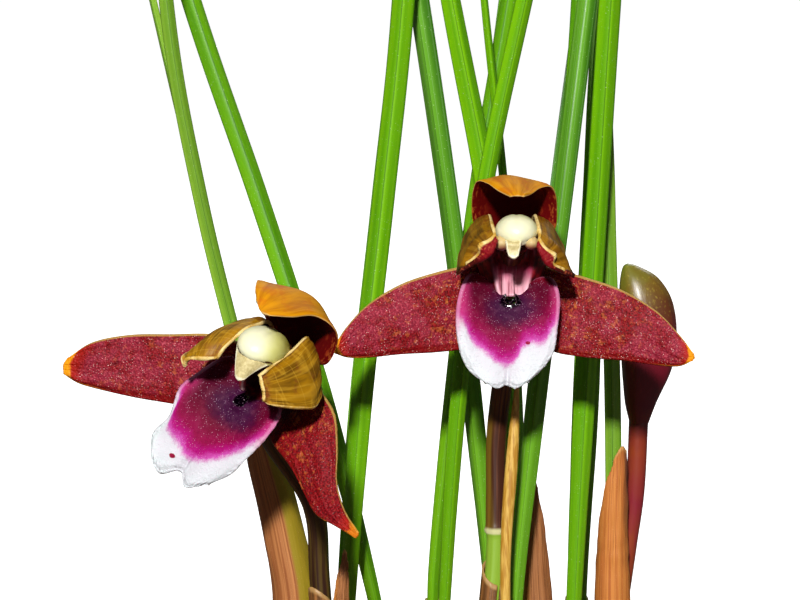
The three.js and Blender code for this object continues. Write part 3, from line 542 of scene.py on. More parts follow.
# Routes of the leaves from base to tip. turn is the angle of the leaf's face, and 0 shows its keel in front
leaves = {
    "leaf_left_tall": {"turn": 10, "width": 0.66, "tone": "pale", "points": [
        (-16, -3.6, 88.4), (-17.2, -4, 97), (-22, -5, 120), (-27.3, -6, 143), (-31.1, -6, 166),
        (-33, -4, 200), (-30, 0, 245)]},
    "leaf_left_inner": {"turn": -20, "width": 0.42, "tone": "pale", "points": [
        (-18.5, 4.5, 69.4), (-17.8, 3.4, 84), (-19, 2, 104), (-23.6, 2, 122), (-28.1, 2, 142.3),
        (-33.3, 1, 165.7), (-42, -2, 205)]},
    "leaf_left_arching": {"turn": 15, "width": 0.93, "tone": "deep", "points": [
        (-6.4, -1.7, 88.4), (-7.8, -2, 97), (-13.3, 0, 118.8), (-20.9, 4, 142), (-29, 8, 165.3),
        (-41, 14, 205), (-58, 22, 242)]},
    "leaf_left_front": {"turn": -8, "width": 1, "tone": "bright", "points": [
        (-11.2, -10.4, 88.4), (-10.6, -10, 97), (-9, -10, 120.5), (-6.5, -9, 143.5), (-4.2, -9, 166.1),
        (-1.6, -12, 205), (-4, -20, 262)]},
    "leaf_middle_dark": {"turn": -24, "width": 1, "tone": "blue", "points": [
        (6.6, 0, 88.4), (6, -1.2, 97), (3.7, -2, 119.1), (0.8, -3, 142.8), (-2.6, -4, 165.9), (-9, -4, 205),
        (-19, 2, 247)]},
    "leaf_middle_low": {"turn": 12, "width": 1, "tone": "bright", "points": [
        (7.8, -5.9, 69.4), (8.1, -5.4, 84), (8.5, -4.6, 104), (8.5, -4, 119.5), (5.8, -4, 142.9),
        (1.4, -5, 166), (-6, -8, 205)]},
    "leaf_middle_back": {"turn": -10, "width": 0.74, "tone": "deep", "points": [
        (-0.2, 2.2, 88.4), (-0.6, 1.4, 97), (1.5, 2, 118.5), (4.3, 4, 142), (8.2, 6, 165.4), (15, 10, 205),
        (22, 20, 255)]},
    "leaf_middle_front": {"turn": 8, "width": 0.76, "tone": "bright", "points": [
        (0.5, -7.7, 88.4), (0.8, -8, 97), (2.3, -9, 120.3), (5, -10, 143.6), (9.6, -11, 166.3),
        (18, -15, 205), (31, -23, 244)]},
    "leaf_middle_narrow": {"turn": 5, "width": 0.4, "tone": "bright", "points": [
        (12.6, 2.6, 69.4), (11.4, 3.4, 84), (9.9, 4, 104), (9.6, 4, 118.1), (7.9, 3, 142.3), (5.3, 1, 165.7),
        (2, -2, 200)]},
    "leaf_right_blue": {"turn": -12, "width": 0.9, "tone": "blue", "points": [
        (8.6, -12.4, 88.4), (8.7, -12.1, 97.5), (11, -11, 120.7), (13.9, -9, 143.5), (16.8, -4.6, 166),
        (22, 4, 205), (31, 14, 248)]},
    "leaf_right_thin": {"turn": 10, "width": 0.6, "tone": "deep", "points": [
        (10.2, 8.6, 88.4), (10.6, 8, 97), (12, 6.6, 117.8), (14.6, 5.2, 141.9), (16.4, 5, 165.5),
        (17.4, 4, 205), (18, 3, 245)]},
    "leaf_right_tall": {"turn": 4, "width": 1, "tone": "bright", "points": [
        (15.5, -8.3, 88.4), (15.8, -8, 97), (16.9, -7, 120), (18.2, -6.8, 143.1), (19.4, -8, 166),
        (22, -11, 210), (30, -18, 266)]},
    "leaf_right_sheathed": {"turn": -10, "width": 0.75, "tone": "pale", "points": [
        (21.4, -3, 70.6), (21, -3, 84), (20.6, -3, 100), (20.3, -2.4, 119.1), (19.6, -0.6, 142.5),
        (19.4, 1, 165.6), (23, 5, 205)]},
    "leaf_right_back": {"turn": 0, "width": 0.85, "tone": "deep", "points": [
        (17.4, 8.5, 88.4), (17.5, 8.1, 97), (18.3, 7, 117.6), (18.8, 6, 141.8), (20, 6.6, 165.4),
        (25, 10, 205), (36, 18, 240)]},
    "leaf_back_left": {"turn": 170, "width": 1, "tone": "deep", "points": [
        (-11.4, 12.2, 88.4), (-11, 12.8, 97), (-9.3, 14, 116.4), (-6.6, 17, 140.6), (-4.1, 20, 164.7),
        (-2, 30, 205), (-3, 46, 240)]},
    "leaf_back_middle": {"turn": 190, "width": 1, "tone": "bright", "points": [
        (0.1, 16.4, 88.4), (0.4, 16.6, 97), (2.3, 18, 115.7), (5.1, 21, 140.2), (8.8, 25, 164.5),
        (13, 36, 203), (15, 54, 232)]},
    "leaf_back_right": {"turn": 175, "width": 1, "tone": "blue", "points": [
        (10.2, 20.4, 88.4), (10.5, 20.8, 97), (12.5, 22.5, 115), (15.3, 26, 139.8), (18.7, 31, 164.4),
        (24, 44, 200), (28, 62, 222)]},
    "leaf_back_far_right": {"turn": 160, "width": 1, "tone": "deep", "points": [
        (17.4, 17.2, 88.4), (17.3, 17.2, 97), (18.1, 17, 115.7), (19.2, 18, 140.3), (20.7, 21, 164.6),
        (26, 27, 205), (35, 36, 240)]},
    "leaf_low_left": {"turn": 90, "width": 1, "tone": "deep", "points": [
        (-23.5, 6, 69.4), (-26.5, 7, 80), (-34, 9.5, 88.5), (-48, 14, 89), (-66, 19, 78), (-80, 22, 60)]},
    "leaf_low_right": {"turn": -80, "width": 1, "tone": "bright", "points": [
        (27.6, 4, 69.4), (30.5, 5, 80), (38, 8, 88.5), (53, 13, 87), (71, 18, 72), (82, 20, 52)]},
}


def growLeaves():
    group = leafGroup()
    for number, (node, leaf) in enumerate(leaves.items()):
        path = pathCurve("path", leaf["points"], leafBlade["samples"])
        turn = math.radians(leaf["turn"])
        material = leafTones[leaf["tone"]]
        blade = grownMesh(path, group, node + "_blade", {
            "Side": (math.cos(turn), math.sin(turn), 0.0),
            "Half Width": leafBlade["halfWidth"] * leaf["width"] * mm,
            "Fold": leafBlade["fold"] * leaf["width"] * mm, "Thickness": leafBlade["thickness"] * mm,
            "Wave": leafBlade["wave"] * mm, "Seed": number * 7.3, "Material": material})
        dressPiece(blade, material, "leaf_green", node)


growLeaves()
print("leaves grown")


# Blooms: each row of points runs from one margin to the other, and the rows from base to tip, in the bloom's
# own frame: x to the viewer's right, y to the back, z up
blooms = {
    "right": {"at": (7.64, -22, 137.1), "yaw": 0, "roll": 0, "size": 1, "lean": 0.0036, "seed": 11},
    "left": {"at": (-18.8, -30, 127), "yaw": -30, "roll": 28.7, "size": 1.07, "lean": 0.0083, "seed": 37},
}
dorsalSepal = [
    [(-2, 3, 2.2), (0, 3.9, 2.1), (2, 3, 2.2)],
    [(-3.8, 1, 4.6), (0, 3.8, 4.8), (4.7, 1, 4)],
    [(-4.2, -0.6, 7.6), (0, 2.4, 7.7), (5.05, -0.4, 7.3)],
    [(-3.8, -2.6, 10), (0, -0.2, 10.1), (4.45, -2.2, 9.4)],
    [(-2.7, -4.8, 10.2), (0.1, -3.2, 10.6), (3.1, -4.2, 9.6)],
    [(-1.5, -6.9, 9.6), (0.3, -6, 10.1), (2, -6.6, 9.2)],
    [(-0.3, -8.2, 9.1), (0.5, -8.4, 9.2), (1.2, -8.1, 9.1)],
]
leftHood = [
    [(-2, 3, 2.2), (0, 3.9, 2.1), (2, 3, 2.2)],
    [(-3.8, 1, 4.6), (0, 3.8, 4.8), (4.8, 1.3, 4)],
    [(-4.4, -1.3, 6.9), (0.1, 2.3, 7.6), (5.3, 0.2, 7.1)],
    [(-3.85, -3.2, 8.9), (0.3, -0.3, 9.5), (4.8, -1.4, 8.9)],
    [(-3, -5.1, 9.75), (0.2, -3.4, 10.1), (3.5, -3.6, 9.7)],
    [(-2.1, -6.6, 9.7), (0.2, -6.3, 9.75), (2.6, -6.3, 9.4)],
    [(-1.05, -7.6, 9.2), (0.2, -8.2, 8.8), (1.3, -8.3, 9)],
]
lateralSepal = [
    [(-1.7, 2.5, 0.8), (-1.9, 2.7, -2.6), (-1.7, 1.8, -6.2)],
    [(-4.4, 1.4, 0.3), (-4.6, 0.4, -4), (-4.2, -0.3, -8.4)],
    [(-8, 0, -0.4), (-8.3, -1.2, -4.6), (-7.8, -1.6, -8.9)],
    [(-12, -1.4, -1.7), (-12.2, -2.6, -5.3), (-12, -2.9, -9.1)],
    [(-15.6, -2.8, -3.9), (-15.8, -3.8, -6.6), (-15.6, -3.9, -9.5)],
    [(-18, -4.2, -6.4), (-18, -4.7, -8.1), (-17.8, -4.7, -9.5)],
    [(-19.3, -5.2, -8.4), (-19.4, -5.2, -8.8), (-19.2, -5.2, -9.1)],
]
droopingSepal = [
    [(-1.7, 2.5, 0.8), (-1.9, 2.7, -2.4), (-1.7, 1.8, -5.6)],
    [(-4.3, 1.4, 0.3), (-4.5, 0.4, -3.7), (-4.2, -0.3, -7.5)],
    [(-7.4, 0.1, -0.3), (-7.6, -1, -4.4), (-7.2, -1.4, -8.4)],
    [(-11, -1.3, -2.4), (-11, -2.3, -6.1), (-10.8, -2.9, -9.7)],
    [(-14.6, -2.8, -4.6), (-14.4, -3.6, -7.8), (-14.2, -4, -10.8)],
    [(-17.4, -4.2, -7.1), (-17.1, -4.6, -9.3), (-16.6, -4.8, -11.4)],
    [(-18.9, -4.9, -9.9), (-18.9, -5.1, -10.6), (-18.4, -5.2, -11.4)],
]
narrowSepal = [
    [(1.7, 2.5, 0.8), (1.9, 2.7, -2.2), (1.7, 1.8, -5.4)],
    [(5, 1.6, 1), (5, 0.2, -2.3), (4.2, -0.9, -5.5)],
    [(8.4, 0.4, 0.4), (8.6, -1.4, -2.9), (8, -2.2, -6)],
    [(11, -1, -1.8), (11.3, -2.6, -4.5), (11.1, -3.2, -7)],
    [(13.3, -2.5, -4.3), (13.6, -3.6, -6), (13.4, -3.9, -7.6)],
    [(16, -3.7, -5.7), (16.1, -4.1, -6.5), (16, -4.2, -7.2)],
    [(18.5, -4.5, -6.2), (18.6, -4.5, -6.5), (18.5, -4.5, -6.8)],
]
petal = [
    [(-1.9, 1.6, 3.5), (-2.3, 1.8, 3), (-2.6, 1.8, 2.5), (-2.7, 1.7, 2.1), (-2.7, 1.6, 1.6)],
    [(-2.3, -1, 6.1), (-3.3, -0.8, 5.7), (-4.3, -0.8, 4.7), (-4.9, -1, 3.6), (-5.1, -1.2, 2.4)],
    [(-2.2, -3.7, 6.1), (-3.5, -3.4, 5.5), (-4.6, -3.5, 4.3), (-5.3, -3.8, 2.7), (-5.7, -4, 0.9)],
    [(-2, -5.8, 5.5), (-3.3, -6.1, 5), (-4.4, -6.3, 3.9), (-5.2, -6.4, 2.3), (-5.8, -6, 0.4)],
    [(-1.9, -7.2, 5.1), (-3, -7.7, 4.75), (-4.1, -7.8, 3.9), (-4.9, -7.7, 2.5), (-5.8, -6.9, 0.5)],
    [(-1.7, -8.6, 4.5), (-2, -9.2, 3.6), (-2.3, -9.3, 3), (-3.2, -9.1, 2.4), (-5.2, -7.9, 1.1)],
    [(-1.8, -8.9, 4.9), (-2.7, -9.5, 4.5), (-3.6, -9.6, 4), (-3.7, -9.4, 3), (-5, -8.4, 1.8)],
]
rightPetal = [
    [(1.9, 1.6, 3.5), (2.3, 1.8, 3), (2.6, 1.8, 2.5), (2.7, 1.7, 2.1), (2.7, 1.6, 1.6)],
    [(2.5, -1, 6.1), (3.6, -0.8, 5.6), (4.6, -0.8, 4.6), (5.2, -1, 3.4), (5.5, -1.2, 2.2)],
    [(2.7, -3.7, 5.9), (3.8, -3.4, 5.3), (4.8, -3.5, 4.1), (5.6, -3.8, 2.5), (6.2, -4, 0.8)],
    [(2.8, -5.8, 5.2), (3.9, -6.1, 4.7), (4.9, -6.3, 3.6), (5.8, -6.4, 2), (6.5, -6, 0.1)],
    [(2.9, -7.2, 4.7), (3.9, -7.7, 4.1), (4.9, -7.8, 3.2), (5.7, -7.6, 1.8), (6.5, -6.9, 0.2)],
    [(2.6, -8.5, 4), (2.9, -9.2, 3.1), (3.3, -9.3, 2.3), (4.2, -9.1, 1.5), (5.9, -7.9, 0.6)],
    [(2.8, -8.8, 4.5), (3.6, -9.5, 3.6), (4.5, -9.6, 2.9), (4.4, -9.4, 1.9), (5.6, -8.4, 1.1)],
]
droopingPetal = [
    [(-1.9, 1.6, 3.3), (-2.3, 1.8, 2.9), (-2.6, 1.8, 2.4), (-2.7, 1.7, 2), (-2.7, 1.6, 1.5)],
    [(-1.9, -1, 5), (-2.9, -0.9, 4.7), (-3.8, -0.9, 4), (-4.5, -1, 3.1), (-4.9, -1.2, 2)],
    [(-1.8, -3.6, 4.9), (-3.1, -3.8, 4.5), (-4.3, -3.9, 3.4), (-5.1, -3.9, 2.2), (-5.4, -4, 0.8)],
    [(-1.8, -5.9, 4.4), (-3.1, -6.2, 4), (-4.3, -6.5, 2.8), (-5.1, -6.6, 1.2), (-5.4, -6.6, -0.2)],
    [(-1.9, -7.4, 3), (-2.9, -7.8, 2.7), (-4.1, -8.2, 1.6), (-4.8, -8.3, 0.5), (-5, -8.2, -0.4)],
    [(-1.9, -8, 1.8), (-2.6, -8.6, 1.2), (-3.6, -8.9, 0.7), (-4.2, -8.9, 0), (-4.4, -8.6, -0.7)],
]
flaredPetal = [
    [(1.9, 1.6, 3.5), (2.3, 1.8, 3), (2.5, 1.8, 2.6), (2.7, 1.7, 2.1), (2.7, 1.6, 1.6)],
    [(2.6, -1, 6.1), (3.6, -0.7, 5.6), (4.6, -0.6, 4.6), (5.5, -0.7, 3.5), (6.2, -0.8, 2.2)],
    [(2.95, -3.6, 5.1), (4.3, -3.3, 4.9), (5.6, -3.2, 4), (6.8, -3.2, 3), (7.8, -3.2, 1.6)],
    [(3.2, -6.2, 4.2), (4.3, -6.1, 4), (5.5, -6, 3.4), (6.6, -5.8, 2.6), (7.4, -5.6, 1.5)],
    [(3.3, -8, 3.5), (4, -8.2, 3.3), (4.8, -8.3, 2.7), (5.4, -8.2, 2.1), (5.9, -8, 1.3)],
    [(3.3, -8.8, 3.2), (3.8, -8.9, 2.9), (4.3, -9, 2.4), (4.7, -9, 1.9), (5, -8.9, 1.4)],
]
lip = [
    [(-1.4, -0.1, -3.4), (-0.8, 0, -4.1), (0, 0.1, -4.3), (0.8, 0, -4.1), (1.4, -0.1, -3.4)],
    [(-2.8, -1.9, -0.7), (-1.7, -1.2, -2.6), (0, -0.8, -3.8), (1.7, -1.2, -2.6), (2.8, -1.9, -0.8)],
    [(-4.6, -3.3, -0.1), (-2.6, -2.3, -2), (0, -1.8, -3.3), (2.6, -2.3, -2), (4.5, -3.3, -0.6)],
    [(-5.7, -4.4, -2.6), (-3.2, -3.2, -3.6), (0, -2.9, -4.2), (3, -3.2, -3.6), (5.2, -4.4, -2.6)],
    [(-5.9, -5.1, -5.6), (-3, -4.4, -6.3), (-0.2, -4.1, -6.5), (2.6, -4.4, -6.3), (4.9, -5.1, -5.7)],
    [(-5.4, -5.5, -8.5), (-2.9, -5.3, -8.9), (-0.3, -5.1, -8.8), (2.1, -5.3, -8.8), (4.5, -5.4, -8.3)],
    [(-4.4, -5.9, -10.4), (-2.5, -5.9, -10.9), (-0.5, -5.6, -10.6), (1.4, -5.9, -10.8), (3.3, -5.8, -10.1)],
    [(-2.8, -6.1, -11.6), (-1.6, -6.2, -12.1), (-0.5, -6, -11.7), (0.5, -6.2, -12.1), (1.8, -6.1, -11.5)],
]
leftLip = [
    [(-1.4, -0.1, -3.4), (-0.8, 0, -4.1), (0, 0.1, -4.3), (0.8, 0, -4.1), (1.4, -0.1, -3.4)],
    [(-2.5, -1.7, -0.4), (-1.6, -1.2, -2.5), (0, -0.8, -3.8), (1.7, -1.2, -2.7), (2.9, -1.9, -1.2)],
    [(-3.7, -2.9, -0.2), (-2.4, -2.3, -2), (0, -1.8, -3.2), (2.5, -2.4, -2.1), (4.5, -3.2, -1)],
    [(-5.2, -4, -3.1), (-3.1, -3.2, -3.8), (-0.2, -2.9, -4.1), (2.8, -3.2, -3.4), (5.2, -4.3, -1.9)],
    [(-5.9, -4.6, -5.2), (-3.2, -4.2, -6), (-0.4, -3.9, -6.3), (2.5, -4.2, -5.7), (5.1, -5.1, -4.1)],
    [(-5.3, -5.2, -8), (-3.1, -5, -8.6), (-0.7, -4.9, -8.6), (1.9, -5.1, -7.9), (4.5, -5.6, -6.5)],
    [(-5.9, -5.6, -10.6), (-3.7, -5.6, -11.1), (-1.1, -5.4, -10.4), (1.3, -5.8, -10.4), (3.8, -5.8, -8.9)],
    [(-4.8, -6, -12.5), (-3, -6.2, -13.2), (-1.2, -6, -11.8), (0.3, -6.2, -12.7), (2.3, -6, -11.1)],
]


def mirrored(rows):
    return [[(-x, y, z) for x, y, z in row] for row in rows]


def lifted(rows):                     # the right bloom's left sepal rises a little towards its tip
    return [[(x, y, z + 0.0018 * x * x) for x, y, z in row] for row in rows]


def shifted(rows, scale, rises):      # stretches the rows sideways and lifts each of them
    return [[(x * scale, y, z + rise) for x, y, z in row] for row, rise in zip(rows, rises)]


def bloomPlacing(bloom):
    yaw, roll = math.radians(bloom["yaw"]), math.radians(bloom["roll"])
    turn = np.array(Matrix.Rotation(yaw, 3, "Z") @ Matrix.Rotation(roll, 3, "Y"))
    return lambda points: (np.asarray(points) * bloom["size"]) @ turn.T + np.array(bloom["at"])


def lateralSepalFinish(name, hazeAndLight):
    # Crimson skin of glistening cells under a rosy haze, broken orange bars at the base, and an orange tip
    # The second argument sets how much rosy haze, painted glint and orange tip show; a low value paints the
    # darker look of a sepal lying in shade
    f = Finish(name)
    across, along, behind = f.field("across"), f.field("along"), f.field("behind")
    grain = f.noise(f.spot(0.2), 3, 0.65)
    patch = f.noise(f.spot(2.6), 3, 0.6)
    rosy = patch.fade(0.38, 0.62) * along.fade(0.1, 0.35) * across.fade(0.95, 0.8) * hazeAndLight
    bars = f.noise(f.xyz(across * 7, along * 34, 3.1), 3, 0.6).fade(0.52, 0.64)
    rows = f.noise(f.xyz(across * 34, along * 8, 5.7), 2, 0.5).fade(0.4, 0.6)
    blots = f.noise(f.spot(0.8), 3, 0.6).fade(0.55, 0.68)
    toTip = along + abs(across - 0.5) * 0.06 + (patch - 0.5) * 0.06
    # painted glints: tiny pale highlights of the glistening cells, painted into the colour
    glint = f.cells(f.spot(0.23)).fade(0.28, 0.1) * f.noise(f.spot(0.7), 2).fade(0.46, 0.6)
    colour = f.layered(
        f.mix("500004", "8C0810", grain.fade(0.36, 0.6)),
        ("A2304A", rosy * 0.5),
        ("CC5C6C", grain.fade(0.54, 0.66) * (rosy * 0.6 + 0.04)),
        ("D07A34", bars * rows * along.fade(0.42, 0.2) * 0.8),
        ("C8702E", blots * along.fade(0.95, 0.3) * 0.4),
        # painted shade: darker at the base, where the petals shade the sepal
        ("3A0004", along.fade(0.22, 0.08) * 0.7),
        # painted shade: darker along the lower margin
        ("7C0606", across.fade(0.82, 0.97) * 0.6),
        ("B4200A", toTip.fade(0.8, 0.93) * 0.65),
        ("B08C44", across.fade(0.045, 0.02) * along.fade(0.06, 0.2) * 0.85),
        ("C8741C", across.fade(0.97, 0.99) * along.fade(0.6, 0.8) * 0.8),
        ("F09A10", (toTip + grain * 0.02).fade(0.93, 0.965) * (0.45 + hazeAndLight * 0.6)),
        ("F8C8BC", glint * along.fade(0.96, 0.9) * (0.2 + hazeAndLight * 0.6)),
        (f.mix("A86428", "8A2A14", patch.fade(0.4, 0.6)), behind.fade(0.55, 0.9)))
    bumps = f.cells(f.spot(0.24)) + f.noise(f.xyz(across * 14, along * 3, 0.5), 2) * 0.8
    return f.done(colour=colour, roughness=0.56 - glint * 0.25, normal=f.bump(bumps, 0.09), specular=0.16,
                  coat=0.02, coatRoughness=0.35)


def dorsalSepalFinish():
    # Orange outside, deep maroon inside with red and orange flecks near the margins
    f = Finish("upper sepal")
    across, along, behind = f.field("across"), f.field("along"), f.field("behind")
    edge = abs(across - 0.5) * 2
    flow = f.noise(f.xyz(across * 6, along * 2, 1.1), 3, 0.6)
    outside = f.layered(
        f.mix("AC6202", "D28C04", flow.fade(0.3, 0.6)),
        ("C05C04", f.noise(f.spot(1.6), 2).fade(0.52, 0.7) * 0.5),
        ("9C6A18", along.fade(0.55, 0.1) * 0.8))
    flecks = f.noise(f.xyz(across * 22, along * 16, 5.2), 3, 0.65).fade(0.52, 0.62)
    colour = f.layered(
        f.mix("600606", "660607", edge.fade(0.3, 0.8) * 0.9),
        ("A83A18", flecks * edge.fade(0.4, 0.8) * 0.6),
        ("B06C2C", flecks * edge.fade(0.8, 0.97) * along.fade(0.6, 0.3) * 0.5),
        (outside, behind.fade(0.2, 0.5)),
        ("F6D488", (1 - abs(behind - 0.5).fade(0.0, 0.35)) * along.fade(0.2, 0.7) * 0.7))
    bumps = flow * 0.8 + f.noise(f.spot(0.35), 2) * 0.5
    return f.done(colour=colour, roughness=0.48 + flow * 0.15, normal=f.bump(bumps, 0.05), specular=0.12,
                  coat=0.01, coatRoughness=0.3)


def petalFinish(name, dark, light, shade):
    # Golden ochre outside with a lattice of pale veins, crimson inside, a pale tan rim. shade paints shade on
    # the part that hangs below the turned margin and on the lower inside, and fades the vein lattice
    f = Finish(name)
    across, along, behind, edge = f.field("across"), f.field("along"), f.field("behind"), f.field("edge")
    rim = 1 - edge.fade(0.0, 0.22)
    lengthwise = abs(f.noise(f.xyz(across * 9, along * 1.2, 2.0), 1) - 0.5).fade(0.05, 0.01)
    crosswise = abs(f.noise(f.xyz(across * 0.8, along * 10, 8.0), 1) - 0.5).fade(0.05, 0.01)
    broad = f.noise(f.xyz(across * 5, along * 2.5, 4.0), 3, 0.6)
    mottle = f.noise(f.spot(1.5), 3, 0.6)
    # painted shade on the part that hangs below the turned margin
    hangingShade = across.fade(0.82, 0.9) * along.fade(0.3, 0.5) * shade
    outside = f.layered(
        f.mix(dark, light, broad.fade(0.36, 0.62)),
        ("6E2E14", mottle.fade(0.52, 0.7) * 0.55),
        ("CC9C2C", (lengthwise + crosswise) * (0.3 - 0.2 * shade)),
        ("6A3A12", along.fade(0.35, 0.0) * 0.8),
        ("7E3420", along.fade(0.72, 0.95) * mottle.fade(0.4, 0.6) * 0.6),
        ("300A06", hangingShade * 0.9))
    inside = f.layered(
        # crimson inside, darker away from the rim: painted shade deeper in the cup
        f.mix("3C0006", "8A0A18", rim.fade(0.05, 0.6) * 0.9),
        # painted shade on the lower inside of the shaded petals
        ("380A06", across.fade(0.6, 0.85) * shade * 0.9),
        ("C8603C", f.noise(f.spot(0.3), 3).fade(0.52, 0.66) * rim.fade(0.3, 0.8) * 0.6))
    rimTone = f.mix("C89A3C", "ECD08A", mottle.fade(0.35, 0.6))
    colour = f.layered(
        inside,
        (outside, behind.fade(0.2, 0.5)),
        (rimTone, edge.fade(0.04, 0.018) * (1 - hangingShade * along.fade(0.97, 0.94))))
    bumps = lengthwise + crosswise * 0.5 + f.noise(f.spot(0.3), 2) * 0.4
    return f.done(colour=colour, roughness=0.46 + mottle * 0.12, normal=f.bump(bumps, 0.03), specular=0.16,
                  coat=0.02, coatRoughness=0.3)


def oval(x, y, halfWidth, halfHeight):             # 1 on the oval's outline, less inside it
    return ((x / halfWidth) ** 2 + (y / halfHeight) ** 2) ** 0.5


def lipFinish(name, border, spots, callus):
    # White lobes, a magenta wedge down to the notch, crimson above it and purple round the black callus.
    # border lists how far down the white begins, from one margin to the other; each of the spots has a place,
    # a depth and a size
    f = Finish(name)
    x, drop, behind = f.field("side"), f.field("drop"), f.field("behind")
    across, along = f.field("across"), f.field("along")
    wander = f.noise(f.spot(0.8), 4, 0.65) - 0.5
    heights = [((place + 6) / 12, depth / 12) for place, depth in border]
    edge = f.add("ShaderNodeFloatCurve", {"heights": heights}, {"Value": (x + 6) / 12}) * 12
    white = drop - edge + wander * 1.1 + (f.noise(f.spot(0.14), 2) - 0.5) * 0.7
    base = f.ramp(white * 0.105 + 0.6, [
        (0.0, "560020"), (0.2, "6A0028"), (0.38, "8A0240"), (0.49, "A80A70"), (0.555, "C24CA4"),
        (0.63, "D4D0D6"), (1.0, "DADFE0")])
    frost = (abs(across - 0.5).fade(0.462, 0.492) + wander * 0.5) * along.fade(0.7, 0.55)
    black = oval(x, drop - 3.4, *callus).fade(1.15, 0.85)
    glint = f.cells(f.spot(0.2)).fade(0.26, 0.1) * f.noise(f.spot(0.7), 2).fade(0.42, 0.58)
    dots = [oval(x - place, drop - depth, size * 1.5, size) + wander * 0.8 for place, depth, size in spots]
    colour = f.layered(
        base,
        ("340632", (oval(x - 0.1, drop - 4, 4.4, 2.7) + wander * 0.6).fade(1.0, 0.35) * 0.85),
        ("B42C68", abs(x).fade(4.2, 5.5) * drop.fade(6.6, 3.5) * 0.8),
        ("DC98BC", frost * 0.45),
        ("7E0418", drop.fade(1.6, 0.2) * abs(x).fade(5.2, 4.2) * 0.8),
        ("050006", black),
        # painted highlights: white glints on the glossy black callus
        ("F4F2F6", f.cells(f.spot(0.7)).fade(0.14, 0.06) * black * 0.9),
        *[("8E0634", dot.fade(1.2, 0.8)) for dot in dots],
        # painted glints: tiny pale pink highlights of the papillae
        ("F0C0DC", glint * 0.5),
        (f.mix("A83868", "EDE4EA", white.fade(-2, 0)), behind.fade(0.6, 0.95)))
    bumps = f.cells(f.spot(0.22)) * (1 - black)
    return f.done(colour=colour, roughness=0.64 - black * 0.56 - glint * 0.2, normal=f.bump(bumps, 0.05),
                  coat=black * 0.9, coatRoughness=0.08, specular=0.12, subsurface=0.1,
                  subsurfaceScale=0.0005, subsurfaceRadius=(1.0, 0.6, 0.7))


def capFinish():
    f = Finish("anther cap")
    # greener and olive towards the right and the back: partly the cap's own colour, partly painted shade on
    # the side away from the light
    green = f.field("depth") * 0.22 + f.field("side") + f.noise(f.spot(1.8), 2) * 0.3
    colour = f.layered(
        f.mix("EEEBC4", "D6D27C", green.fade(-0.3, 0.55)),
        ("8E8014", green.fade(0.3, 1.1) * 0.9),
        ("C8A070", f.field("rim").fade(0.7, 1.0) * 0.5),
        ("4A3018", (f.field("groove") + f.noise(f.spot(0.3), 2) * 0.4).fade(0.7, 0.85)))
    return f.done(colour=colour, roughness=0.36, normal=f.bump(f.noise(f.spot(0.25), 3), 0.03), specular=0.5,
                  coat=0.2, coatRoughness=0.25, subsurface=0.15, subsurfaceScale=0.0006,
                  subsurfaceRadius=(1.0, 0.9, 0.5))


def columnFinish():
    # part: -1 and 0 the two stalks, 1 column body, 2 hollow front and foot, 3 arms, 4 flap, 5 bract
    f = Finish("column")
    part, along, side, height = f.field("part"), f.field("along"), f.field("side"), f.field("height")
    streak = f.noise(f.xyz(side * 17, height * 0.05, 2.0), 3, 0.6)
    wide = f.noise(f.xyz(side * 4, height * 0.03, 7.0), 2)
    rightStalk = f.layered(
        f.mix("3E1A08", "6E5410", wide.fade(0.42, 0.56)),
        ("8A5030", streak.fade(0.54, 0.66) * 0.3),
        ("86AA30", height.fade(106.5, 106.2)),
        ("CCC890", height.fade(106.0, 106.3) * height.fade(107.0, 106.6)))
    # the left stalk stays dark brown throughout, with no lime band: painted shade, as it stands in the
    # bloom's shadow
    stalk = f.layered(
        f.mix("2E1408", "4E3A10", streak.fade(0.42, 0.62)),
        (rightStalk, part.fade(-0.6, -0.4)),
        (f.mix("4A140C", "7A4A18", streak.fade(0.4, 0.65)), height.fade(117, 122)))
    dark = f.mix("3A0005", "860A18", f.noise(f.spot(0.9), 3).fade(0.4, 0.7))
    stripes = f.noise(f.xyz(side * 2.6, along * 0.9, 4.0), 3, 0.7)
    foot = f.layered(
        f.mix("B04468", "E4A6B2", along.fade(0.5, 0.85)),
        ("8A1838", stripes.fade(0.5, 0.62) * 0.8),
        ("ECBCC6", stripes.fade(0.42, 0.34) * 0.5),
        *[("5A0A20", abs(side - place).fade(0.07, 0.03) * along.fade(0.5, 0.7)) for place in (-0.95, 0.43)])
    hollow = f.layered(
        dark,
        ("8A0A1A", stripes.fade(0.4, 0.6) * 0.7),
        (foot, along.fade(0.38, 0.62)),
        # painted shade: the wings at either side of the hollow go dark
        (dark, (abs(side - 0.2) + along * 1.2).fade(2.6, 3.0)))
    arms = f.mix("C6AC74", "94483A", f.field("low").fade(-0.2, 0.8) * f.noise(f.spot(0.9), 3).fade(0.25, 0.5))
    flap = f.layered(
        f.mix("C2B078", "D8C890", f.noise(f.spot(0.35), 3, 0.6).fade(0.4, 0.65)),
        ("F0EAC8", side * 0.8))
    bract = f.layered(
        f.mix("5E3A18", "946030", f.noise(f.xyz(side * 20, along, 1.0), 3).fade(0.4, 0.62)),
        ("A8804C", along.fade(0.975, 0.99)))
    parts = enumerate((dark, hollow, arms, flap, bract), 1)
    colour = f.layered(stalk, *[(shade, part.fade(number - 0.6, number - 0.4)) for number, shade in parts])
    bumps = f.noise(f.spot(0.3), 3) * part.fade(0.2, 0.8) + streak * part.fade(0.8, 0.2)
    return f.done(colour=colour, roughness=0.42 + streak * 0.15, normal=f.bump(bumps, 0.05),
                  specular=0.35, coat=0.08, coatRoughness=0.3)


